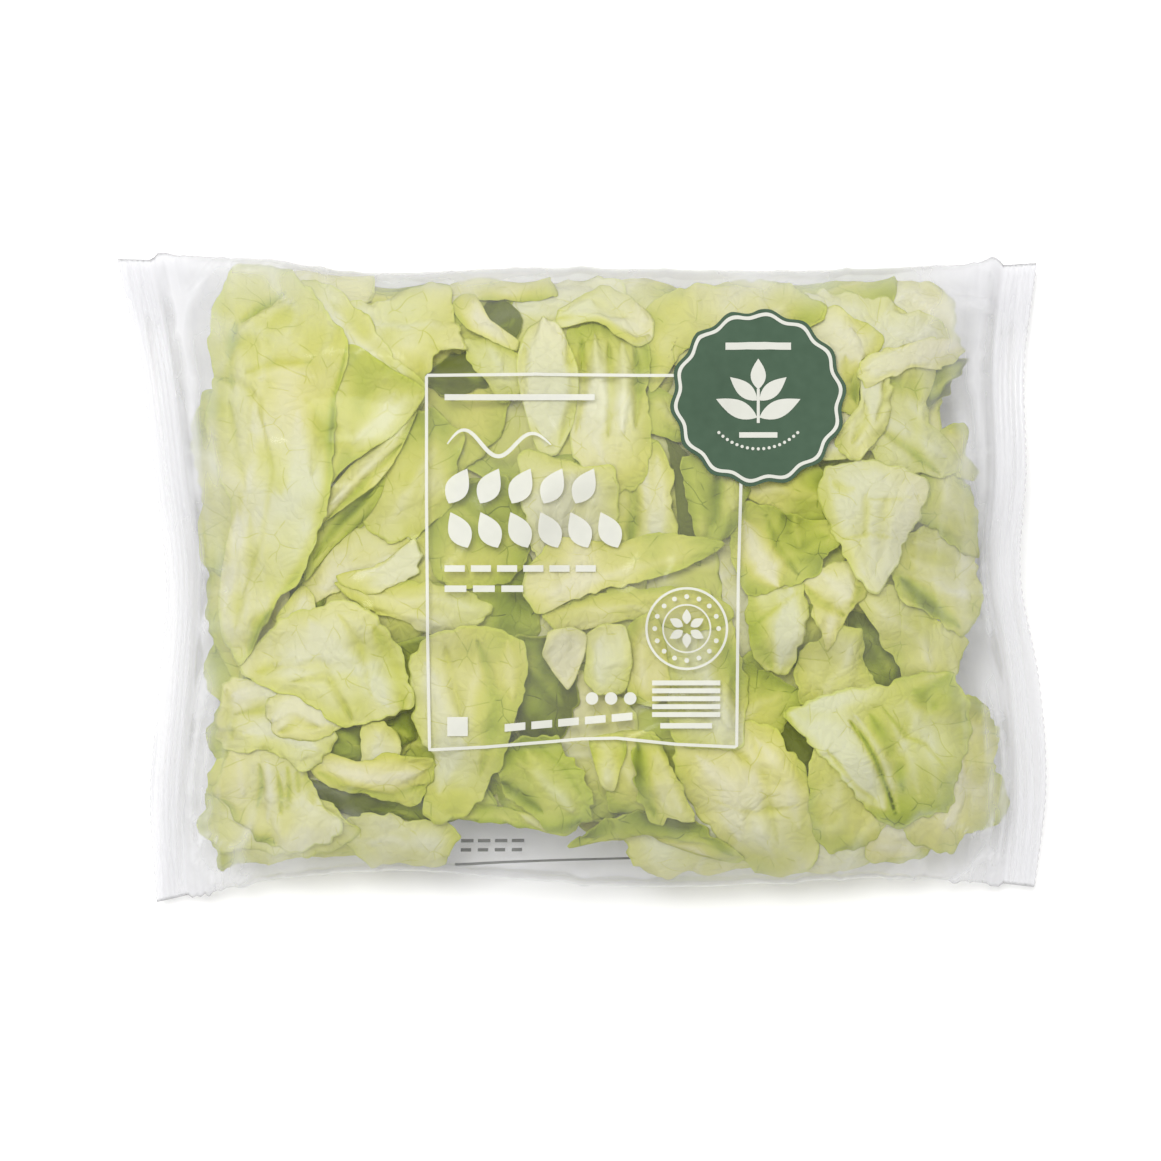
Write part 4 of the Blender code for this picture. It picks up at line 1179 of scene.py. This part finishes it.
    leaf([(34, -60), (48, -54), (62, -50), (72, -54), (78, -63), (83, -70), (84, -80), (86, -92), (87, -108),
          (70, -113), (56, -108), (48, -97), (42, -88), (37, -76)], (72, -108), (58, -54), depth=3.0,
         tone=0.32, ruffle=0.7, folds=1.6, fan=3,
         lines=[([(42, -64), (54, -76), (58, -100)], 3, 1.6, -0.14),
                ([(54, -60), (66, -72), (72, -98)], 2.4, -1.6, 0.18),
                ([(64, -58), (76, -72), (80, -94)], 2.6, 1.4, -0.12),
                ([(48, -82), (64, -88), (80, -84)], 1, -0.7, 0.16)]),
    leaf([(58, -28), (70, -35), (82, -41), (76, -50), (72, -58), (58, -60), (48, -44)], (56, -52), (74, -40),
         depth=5.5, tone=0.56, ruffle=0.4, folds=1.0),
]


def whole_leaf(along, around, length, width, turn, seed):
    """Outline, base and tip of a whole round leaf on the unrolled film, a little wider towards its tip."""
    angle = np.linspace(0, 2 * math.pi, 14, endpoint=False)
    draw = np.random.RandomState(seed)
    wobble = 1 + draw.uniform(-0.09, 0.09, len(angle))
    p = 0.5 * length * np.cos(angle) * wobble
    q = 0.5 * width * np.sin(angle) * (1 + 0.22 * np.cos(angle)) * wobble
    c, s = math.cos(turn), math.sin(turn)
    flat_along = along + p * c - q * s
    along += np.clip(0, LEAVES_START - flat_along.min(), LEAVES_END - flat_along.max())
    outline = np.stack([along + p * c - q * s, around + p * s + q * c], -1)
    half = 0.5 * length
    base = (along - half * c, around - half * s)
    tip = (along + half * c, around + half * s)
    return outline, base, tip


# Rows of leaves at the sides, the back and deep in the front: the way round the bag at which a row lies, its
# first and last centre along the bag, and the number, size, depth and tone of its leaves.
FILL_ROWS = (
    (104, -108, 112, 8, 62, 4.5, 0.34),
    (-104, -108, 112, 8, 62, 4.5, 0.36),
    (150, -92, 98, 6, 76, 3.0, 0.34),
    (-150, -92, 98, 6, 76, 3.0, 0.36),
    (200, -84, 90, 5, 84, 3.0, 0.4),
    (-200, -84, 90, 5, 84, 3.0, 0.4),
    (62, -98, 102, 6, 80, 9.0, 0.5),
    (-62, -98, 102, 6, 80, 9.0, 0.5),
    (0, -98, 102, 6, 84, 9.0, 0.52),
    (30, -92, 96, 5, 88, 15.0, 0.6),
    (-38, -92, 96, 5, 88, 15.0, 0.64),
)


def fill_rows():
    """The leaves of FILL_ROWS, without those that would cover the window near the front edge."""
    draw = np.random.RandomState(FILL_SEED)
    leaves = []
    for around, first, last, count, size, depth, tone in FILL_ROWS:
        for along in np.linspace(first, last, count):
            length = size * draw.uniform(0.85, 1.15)
            along, beside = along + draw.uniform(-7, 7), around + draw.uniform(-7, 7)
            outline, base, tip = whole_leaf(
                along, beside, length, length * draw.uniform(0.7, 0.9), draw.uniform(0, 2 * math.pi),
                draw.randint(1000),
            )
            if -160 < around < -90 and WINDOW[0] < along < WINDOW[1]:
                continue
            leaves.append(leaf(
                outline, base, tip, depth=depth + draw.uniform(-1.5, 1.5),
                tone=tone + draw.uniform(-0.16, 0.16), ruffle=1.4, folds=2.4, fan=draw.uniform(3, 6),
                sheet=True,
            ))
    return leaves


def make_leaves(material):
    """All the leaves, top one first, joined into a few pieces of under 200,000 triangles each."""
    pile = Pile()
    front = SHOWN_LEAVES + PAINTED_SHADE_HOLLOWS
    shown = [lay_leaf(spec, pile, SHOWN_SEED + SHOWN_SEEDS * k) for k, spec in enumerate(front)]
    under = [lay_leaf(spec, pile, UNDER_SEED + UNDER_SEEDS * k) for k, spec in enumerate(fill_rows())]
    for name, parts in (("shown_leaves", shown), ("under_leaves", under)):
        batch, size, number = [], 0, 1
        for part in parts:
            if size + len(part["faces"]) > PIECE_TRIANGLES:
                join_leaves(f"{name}_{number}", batch, material)
                batch, size, number = [], 0, number + 1
            batch.append(part)
            size += len(part["faces"])
        join_leaves(f"{name}_{number}", batch, material)


def make_heart(material):
    """The pressed middle of the pile: a closed skin just outside the middle of the bag, toned dark green as
    painted shade.
    """
    rows, columns = 80, 150
    u = np.linspace(0, math.pi, rows + 2)[1:-1, None]
    a = np.linspace(-2, 2, columns, endpoint=False)[None, :] + 0 * u
    s = 0.5 - 0.36 * np.cos(u) + 0 * a
    full = np.sin(u)
    core = core_point(s, a)
    lift = 0.3 * full**0.35 * (1 + 0.3 * noise(s * 300, a * 90, 14, 61))
    points = core + (ring_point(s, a) - core) * lift[..., None]
    middle = core.mean(axis=1, keepdims=True)
    points = middle + (points - middle) * (full**0.5)[..., None]
    poles = points[[0, -1]].mean(axis=1)
    count = rows * columns
    j = np.arange(columns)
    ahead = (j + 1) % columns
    last = count - columns
    fans = np.concatenate([
        np.stack([np.full(columns, count), j, ahead], -1),
        np.stack([last + j, np.full(columns, count + 1), last + ahead], -1),
    ])
    faces = [grid_quads(rows, columns, wrap=True), fans]
    heart = make_piece("salad_heart_painted_shade", np.concatenate([points.reshape(-1, 3), poles]), faces, material)
    add_uv(heart, np.concatenate([np.stack([s * 3, a], -1).reshape(-1, 2), [(0, 0), (3, 0)]]))
    # Its dark tone paints the shade deep inside the pile into its colour.
    for key, value in (("share", 0.0), ("tone", 0.95), ("cool", 0.2)):
        add_attribute(heart, key, np.full(count + 2, value))


# Print.


class Print:
    """Shapes printed on one panel in one ink, gathered as grids of plan points and made into one piece."""

    def __init__(self, lift=PRINT_LIFT, back=False):
        """lift is how far the ink stands off the film."""
        self.lift, self.back = lift, back
        self.points, self.faces, self.count = [], [], 0

    def grid(self, x, y):
        """Adds a shape from the plan points of a grid. They are laid on the film one by one."""
        s, around = film_map.from_view(x, y) if not self.back else film_map.from_plan(x, y)
        a = film_map.read(film_map.turn, s, around)
        if self.back:
            a = np.sign(a) * 2 - a
        points = film_points(s, a, self.lift)
        quads = grid_quads(*x.shape)
        turn = np.cross(points[1, 0] - points[0, 0], points[0, 1] - points[0, 0])[2] < 0
        self.faces.append((quads if turn else quads[:, ::-1]) + self.count)
        self.points.append(points.reshape(-1, 3))
        self.count += x.size

    def bar(self, left, right, low, high, slant=0.0):
        """A plain bar, slant millimetres higher at its right end."""
        across = max(2, int((right - left) / PRINT_STEP) + 1)
        up = max(2, int((high - low) / PRINT_STEP) + 1)
        u, v = np.meshgrid(np.linspace(0, 1, across), np.linspace(0, 1, up), indexing="ij")
        self.grid(left + (right - left) * u, low + (high - low) * v + slant * u)

    def stroke(self, corners, width, closed=False, taper=0.0):
        """A line of even width through the corners, drawn smooth. Taper thins both its ends."""
        c = np.array(corners, float)
        if closed:
            c = np.concatenate([c, c[:1]])
        reach = np.concatenate([[0], np.cumsum(np.linalg.norm(np.diff(c, axis=0), axis=1))])
        steps = max(3, int(reach[-1] / STROKE_STEP))
        t = np.linspace(0, reach[-1], steps)
        x, y = np.interp(t, reach, c[:, 0]), np.interp(t, reach, c[:, 1])
        tx, ty = np.gradient(x), np.gradient(y)
        if closed:
            tx[[0, -1]], ty[[0, -1]] = tx[[0, -1]].mean(), ty[[0, -1]].mean()
        size = np.hypot(tx, ty)
        half = 0.5 * width * (1 - taper * abs(2 * t / reach[-1] - 1) ** 3)
        side = np.linspace(-1, 1, 3)[None, :]
        off_x, off_y = (ty / size * half)[:, None] * side, (tx / size * half)[:, None] * side
        self.grid(x[:, None] - off_x, y[:, None] + off_y)

    def blade(self, x, y, length, width, turn):
        """A leaf silhouette: pointed at both ends, its stalk at (x, y), turned anticlockwise by degrees."""
        u, v = np.meshgrid(np.linspace(0.0, 1, 12), np.linspace(-1, 1, 5), indexing="ij")
        p = length * u
        q = 0.5 * width * np.sin(math.pi * u**0.85) * v
        c, s = math.cos(math.radians(turn)), math.sin(math.radians(turn))
        self.grid(x + p * c - q * s, y + p * s + q * c)

    def ring(self, x, y, inner, outer, waves=0, swell=0.0, steps=96):
        """A ring, or a disc where inner is 0, whose radius swells in and out `waves` times."""
        v = np.linspace(0, 1, 3 if inner else 14)
        turn, v = np.meshgrid(np.linspace(0, 2 * math.pi, steps + 1), v, indexing="ij")
        edge = 1 + swell * np.sin(waves * turn)
        reach = (inner + (outer - inner) * v) * edge
        self.grid(x + reach * np.cos(turn), y + reach * np.sin(turn))

    def make(self, name, material, slot):
        """The piece made of every shape added."""
        piece = make_piece(name, np.concatenate(self.points), np.concatenate(self.faces), material)


def white_lines(ink):
    """The frame, and in it a bar, a tendril, two rows of leaf silhouettes and two of dashes."""
    frame_line = [
        (38, 75), (20, 75), (-20, 75.4), (-56.6, 75), (-56.6, 30), (-56.2, -20), (-55.5, -62), (-35, -61),
        (-10.8, -59), (0, -58), (13, -57.7), (35, -60), (57, -61), (57.6, 0), (58.6, 37), (58.6, 42),
    ]
    ink.stroke(frame_line, 1.15)
    ink.bar(-50, 5, 66, 68.2)
    t = np.linspace(0, 1, 60)
    ink.stroke(np.stack([-49 + 38 * t, 50 + 5.5 * np.sin(9.5 * t) * (1 - 0.35 * t)], -1), 1.5, taper=0.7)
    for k in range(5):
        ink.blade(-48.5 + 11.6 * k, 28.2, 14.5, 8.4, 62)
    for k in range(6):
        ink.blade(-41.5 + 11.0 * k, 12.0, 14.5, 8.4, 116)
    for k in range(6):
        ink.bar(-50 + 9.6 * k, -42.6 + 9.6 * k, 3.2, 5.6)
    for k in range(3):
        ink.bar(-50 + 10.4 * k, -42 + 10.4 * k, -4.2, -1.8)


def white_emblem(ink, x, y):
    """A round emblem: three rings, the middle one of dots, and a flower of six petals."""
    ink.ring(x, y, 14.3, 15.2)
    ink.ring(x, y, 8.4, 9.0)
    for k in range(16):
        turn = 2 * math.pi * k / 16
        ink.ring(x + 11.7 * math.cos(turn), y + 11.7 * math.sin(turn), 0, 0.9, steps=14)
    for k in range(6):
        turn = 30 + 60 * k
        c, s = math.cos(math.radians(turn)), math.sin(math.radians(turn))
        ink.blade(x + 1.6 * c, y + 1.6 * s, 5.6, 3.2, turn)


def white_marks(ink):
    """A striped emblem, three dots, a row of dashes that climbs a little, and a square."""
    for k in range(5):
        ink.bar(26, 51, -38.4 - 2.9 * k, -36.6 - 2.9 * k)
    ink.bar(29, 48, -54.2, -52.2)
    for k in range(3):
        ink.ring(4 + 7.0 * k, -43.2, 0, 2.3, steps=24)
    for k in range(5):
        ink.bar(-28 + 9.8 * k, -20.4 + 9.8 * k, -55.4 + 0.9 * k, -52.6 + 0.9 * k, slant=0.7)
    ink.bar(-49, -41.5, -57, -50)


def white_print():
    """The white print of the front: plain shapes where a pack carries its lines of print."""
    ink = Print()
    white_lines(ink)
    white_emblem(ink, *EMBLEM)
    white_marks(ink)
    return ink


def badge_field():
    """The round badge, with a softly scalloped edge."""
    ink = Print(lift=PRINT_LIFT + 0.1)
    ink.ring(*BADGE, 0, 31.6, waves=14, swell=0.028, steps=224)
    return ink


def badge_marks():
    """The pale line and marks of the badge: a bar, a sprig, and a dotted curve under it."""
    ink = Print(lift=PRINT_LIFT + 0.3)
    x, y = BADGE
    ink.ring(x, y, 28.9, 30.2, waves=14, swell=0.028, steps=224)
    ink.bar(x - 12, x + 12, y + 17.4, y + 20.0)
    ink.stroke([(x, y - 9), (x, y + 3.4)], 1.1)
    for side in (1, -1):
        for k, up in enumerate((-7.0, -0.8)):
            turn = 24 + 16 * k
            ink.blade(x + 0.4 * side, y + up, 16.5 - 3.5 * k, 6.4 - k, turn if side == 1 else 180 - turn)
    ink.blade(x, y + 3.2, 11, 5.6, 90)
    for k in range(17):
        turn = math.radians(270 + 5.6 * (k - 8))
        ink.ring(x + 20.5 * math.cos(turn), y + 20.5 * math.sin(turn) + 2, 0, 0.6, steps=10)
    ink.bar(x - 7, x + 7, y - 14.4, y - 12.4)
    return ink


def back_print():
    """The plain bars and lines on the back panel, seen between the leaves."""
    ink = Print(lift=-0.3, back=True)
    ink.stroke([(-46, -103.5), (-12, -102.6), (28, -101.6)], 0.8)
    for k in range(4):
        ink.bar(-44 + 6.2 * k, -39.4 + 6.2 * k, -96.2, -95.0)
        ink.bar(-44 + 6.2 * k, -40.2 + 6.2 * k, -99.4, -98.2)
    ink.bar(3.5, 15.5, -91.4, -90.4)
    ink.bar(3.5, 15.5, -85.2, -84.2)
    for k in range(4):
        ink.bar(4.5 + 2.8 * k, 6.2 + 2.8 * k, -89.6, -86.2)
    return ink


# Materials.


def srgb(red, green, blue):
    """A colour for a shader from its 0 to 255 screen values."""
    parts = np.array([red, green, blue]) / 255
    linear = np.where(parts <= 0.04045, parts / 12.92, ((parts + 0.055) / 1.055) ** 2.4)
    return (*linear, 1.0)


class Nodes:
    """A material's node tree, with short ways to add and link nodes."""

    def __init__(self, name):
        """An empty material, with only its output node."""
        self.material = bpy.data.materials.new(name)
        self.material.use_nodes = True
        self.tree = self.material.node_tree
        self.tree.nodes.clear()
        self.output = self.tree.nodes.new("ShaderNodeOutputMaterial")

    def add(self, kind, links=None, **settings):
        """A node of that kind, with its settings, and its inputs set to values or linked to sockets."""
        node = self.tree.nodes.new("ShaderNode" + kind)
        for key, value in settings.items():
            setattr(node, key, value)
        for key, value in (links or {}).items():
            self.set(node.inputs[key], value)
        return node

    def set(self, socket, value):
        """Links a socket to another one, or sets its value."""
        if isinstance(value, bpy.types.NodeSocket):
            self.tree.links.new(value, socket)
        else:
            socket.default_value = value

    def math(self, operation, a, b=0.0, clamp=False):
        """The result of a sum on one or two numbers."""
        return self.add("Math", {0: a, 1: b}, operation=operation, use_clamp=clamp).outputs[0]

    def band(self, value, low, high):
        """0 under low, 1 over high, and an even turn between them."""
        links = {0: value, 1: low, 2: high}
        return self.add("MapRange", links, interpolation_type="SMOOTHSTEP").outputs[0]

    def ramp(self, value, stops):
        """A colour read off a row of stops, each a place and a colour."""
        node = self.add("ValToRGB", {0: value})
        row = node.color_ramp.elements
        while len(row) < len(stops):
            row.new(0.5)
        for element, (place, colour) in zip(row, stops):
            element.position = place
            element.color = colour
        return node.outputs[0]

    def mix(self, factor, a, b, kind="MIX"):
        """A mix of two colours."""
        node = self.add("Mix", None, data_type="RGBA", blend_type=kind, clamp_factor=True)
        self.set(node.inputs[0], factor)
        self.set(node.inputs[6], a)
        self.set(node.inputs[7], b)
        return node.outputs[2]


LEAF_COLOURS = (
    (0.00, srgb(240, 236, 206)),
    (0.22, srgb(235, 231, 166)),
    (0.45, srgb(223, 221, 112)),
    (0.68, srgb(198, 205, 74)),
    (0.88, srgb(152, 166, 32)),
    (1.00, srgb(114, 124, 2)),
)


def leaf_veins(n, uv):
    """A faint, broken net of coarse and fine veins, 1 on a vein, and the height of the blisters between."""
    cells = dict(feature="DISTANCE_TO_EDGE", voronoi_dimensions="2D")
    coarse = n.add("TexVoronoi", {"Vector": uv, "Scale": 9.0}, **cells).outputs["Distance"]
    fine = n.add("TexVoronoi", {"Vector": uv, "Scale": 26.0}, **cells).outputs["Distance"]
    broken = n.add("TexNoise", {"Vector": uv, "Scale": 13.0, "Detail": 1.0}, noise_dimensions="2D").outputs[0]
    coarse_line = n.math("MULTIPLY", n.band(coarse, 0.022, 0.004), n.band(broken, 0.45, 0.55))
    fine_line = n.math("MULTIPLY", n.band(fine, 0.05, 0.0), n.band(broken, 0.44, 0.34))
    line = n.math("MAXIMUM", coarse_line, n.math("MULTIPLY", fine_line, 0.4))
    return line, n.math("ADD", fine, n.math("MULTIPLY", coarse, 1.4))


def leaf_material():
    """Soft lettuce: cream in its heart to green at the rim, a faint net of veins, and light let through."""
    n = Nodes("lettuce_leaf")
    tone = n.add("Attribute", attribute_name="tone").outputs["Fac"]
    cool = n.add("Attribute", attribute_name="cool").outputs["Fac"]
    share = n.add("Attribute", attribute_name="share").outputs["Fac"]
    uv = n.add("UVMap", uv_map="UVMap").outputs[0]
    across = n.math("ABSOLUTE", n.add("SeparateXYZ", {0: uv}).outputs[1])
    rib = n.math("MULTIPLY", n.band(across, 0.03, 0.0), n.band(share, 1.0, 0.5))
    line, blister = leaf_veins(n, uv)
    tone = n.math("SUBTRACT", tone, n.math("MULTIPLY", rib, 0.12))
    tone = n.math("ADD", tone, n.math("MULTIPLY", line, 0.2))
    colour = n.ramp(tone, LEAF_COLOURS)
    colour = n.mix(n.math("MULTIPLY", cool, 0.42, clamp=True), colour, srgb(232, 246, 244), "MULTIPLY")
    # The outermost rim is tinted lime: partly the leaf's own greener margin, partly a painted glow of light
    # through the thin edge.
    colour = n.mix(n.math("MULTIPLY", n.band(share, 0.95, 0.985), 0.5), colour, srgb(216, 224, 92))
    height = n.math("ADD", blister, n.math("MULTIPLY", rib, 0.5))
    height = n.math("SUBTRACT", height, n.math("MULTIPLY", line, 0.4))
    bump = n.add("Bump", {"Height": height, "Strength": 0.4, "Distance": 0.0016}).outputs[0]
    face = n.add("BsdfPrincipled", {
        "Base Color": colour, "Roughness": 0.45, "Normal": bump, "Specular IOR Level": 0.4,
    })
    through_colour = n.mix(1.0, colour, srgb(250, 252, 176), "MULTIPLY")
    back = n.add("BsdfTranslucent", {"Color": through_colour})
    shader = n.add("MixShader", {0: 0.42, 1: face.outputs[0], 2: back.outputs[0]})
    n.set(n.output.inputs[0], shader.outputs[0])
    return n.material


def film_material():
    """Thin clear film: as milky as its attribute says, which is partly real milkiness and partly painted
    highlight, sheen and shade, with a glossy skin.
    """
    n = Nodes("clear_film")
    haze_and_painted_light = n.add("Attribute", attribute_name="haze_and_painted_light").outputs["Fac"]
    # Milkier where the film is seen slantwise: partly the longer path through it, partly a painted sheen on
    # its slopes and folds.
    slope = n.add("LayerWeight", {"Blend": 0.5}).outputs["Facing"]
    haze_and_painted_light = n.math("MINIMUM", n.math("ADD", haze_and_painted_light, n.math("MULTIPLY", slope, 0.22)), 0.6)
    clear = n.add("BsdfTransparent", {"Color": (0.96, 0.96, 0.966, 1)})
    milk = n.add("BsdfDiffuse", {"Color": (0.70, 0.70, 0.72, 1)})
    body = n.add("MixShader", {0: haze_and_painted_light, 1: clear.outputs[0], 2: milk.outputs[0]})
    gloss = n.add("BsdfGlossy", {"Color": (1, 1, 1, 1), "Roughness": 0.13})
    fresnel = n.math("MINIMUM", n.add("Fresnel", {"IOR": 1.28}).outputs[0], 0.3)
    skin = n.add("MixShader", {0: fresnel, 1: body.outputs[0], 2: gloss.outputs[0]})
    n.set(n.output.inputs[0], skin.outputs[0])
    return n.material


def ink_material(name, colour, darker, cover):
    """Printed ink: nearly even, with the faint mottle of a roller, half dull, and as opaque as cover says."""
    n = Nodes(name)
    place = n.add("TexCoord").outputs["Object"]
    mottle = n.add("TexNoise", {"Vector": place, "Scale": 240.0, "Detail": 1.0}).outputs[0]
    tint = n.mix(mottle, colour, darker)
    shader = n.add("BsdfPrincipled", {
        "Base Color": tint, "Roughness": 0.42, "Specular IOR Level": 0.35, "Alpha": cover,
    })
    n.set(n.output.inputs[0], shader.outputs[0])
    return n.material


def floor_material():
    """A plain pale floor with a barely visible mottle."""
    n = Nodes("floor")
    place = n.add("TexCoord").outputs["Object"]
    cloud = n.add("TexNoise", {"Vector": place, "Scale": 3.0}).outputs[0]
    colour = n.mix(cloud, (0.90, 0.90, 0.90, 1), (0.92, 0.92, 0.92, 1))
    shader = n.add("BsdfPrincipled", {"Base Color": colour, "Roughness": 0.8, "Specular IOR Level": 0.2})
    n.set(n.output.inputs[0], shader.outputs[0])
    return n.material


# Stage, light and camera.


def make_floor():
    """A wide flat floor under the bag."""
    size = 3000.0
    corners = np.array([(-size, -size, 0), (size, -size, 0), (size, size, 0), (-size, size, 0)])
    face = np.array([[0, 1, 2, 3]])
    floor = make_piece("floor", corners - SHIFT * (0, 0, 1), face, floor_material(), smooth=False)


def make_light(name, place, size, power):
    """A square soft light that faces the middle of the bag."""
    lamp = bpy.data.lights.new(name, "AREA")
    lamp.shape = "SQUARE"
    lamp.size = size
    lamp.energy = power
    light = bpy.data.objects.new(name, lamp)
    light.location = place
    light.rotation_euler = light.location.to_track_quat("Z", "Y").to_euler()
    bpy.context.scene.collection.objects.link(light)
    return light


def make_lights():
    """White light from all round, a soft key light from the upper left, and a small one for glints."""
    world = bpy.data.worlds.new("studio")
    world.use_nodes = True
    background = world.node_tree.nodes["Background"]
    background.inputs[0].default_value = (1.0, 0.995, 0.985, 1.0)
    background.inputs[1].default_value = 0.88
    bpy.context.scene.world = world
    key = make_light("key", (-0.5, 0.9, 3.0), 1.3, 71.0)
    key.visible_glossy = False
    make_light("glint", (-0.5, 0.5, 1.3), 0.25, 1.3)


def make_camera():
    """A camera straight over the bag. Its picture shows PICTURE_WIDTH at the height of the bag's outline."""
    camera = bpy.data.cameras.new("camera")
    camera.sensor_width = SENSOR
    camera.lens = SENSOR * (CAMERA_HEIGHT - OUTLINE_HEIGHT) / PICTURE_WIDTH
    camera.clip_end = 10
    view = bpy.data.objects.new("camera", camera)
    view.location = (0, 0, CAMERA_HEIGHT * MM)
    bpy.context.scene.collection.objects.link(view)
    bpy.context.scene.camera = view


def main():
    """Builds the stage, the leaves, the film and the print."""
    bpy.context.scene.view_settings.view_transform = "Standard"
    make_camera()
    make_lights()
    make_floor()
    leaf_look = leaf_material()
    make_leaves(leaf_look)
    make_heart(leaf_look)
    make_film(film_material())
    white = ink_material("white_ink", srgb(202, 202, 194), srgb(194, 195, 186), 0.9)
    white_print().make("white_print", white, "white_ink")
    green = ink_material("green_ink", srgb(52, 74, 56), srgb(62, 84, 66), 1.0)
    badge_field().make("badge_field", green, "green_ink")
    badge_marks().make("badge_marks", white, "white_ink")
    grey = ink_material("grey_ink", srgb(96, 98, 92), srgb(112, 114, 106), 0.9)
    back_print().make("back_print", grey, "grey_ink")


main()
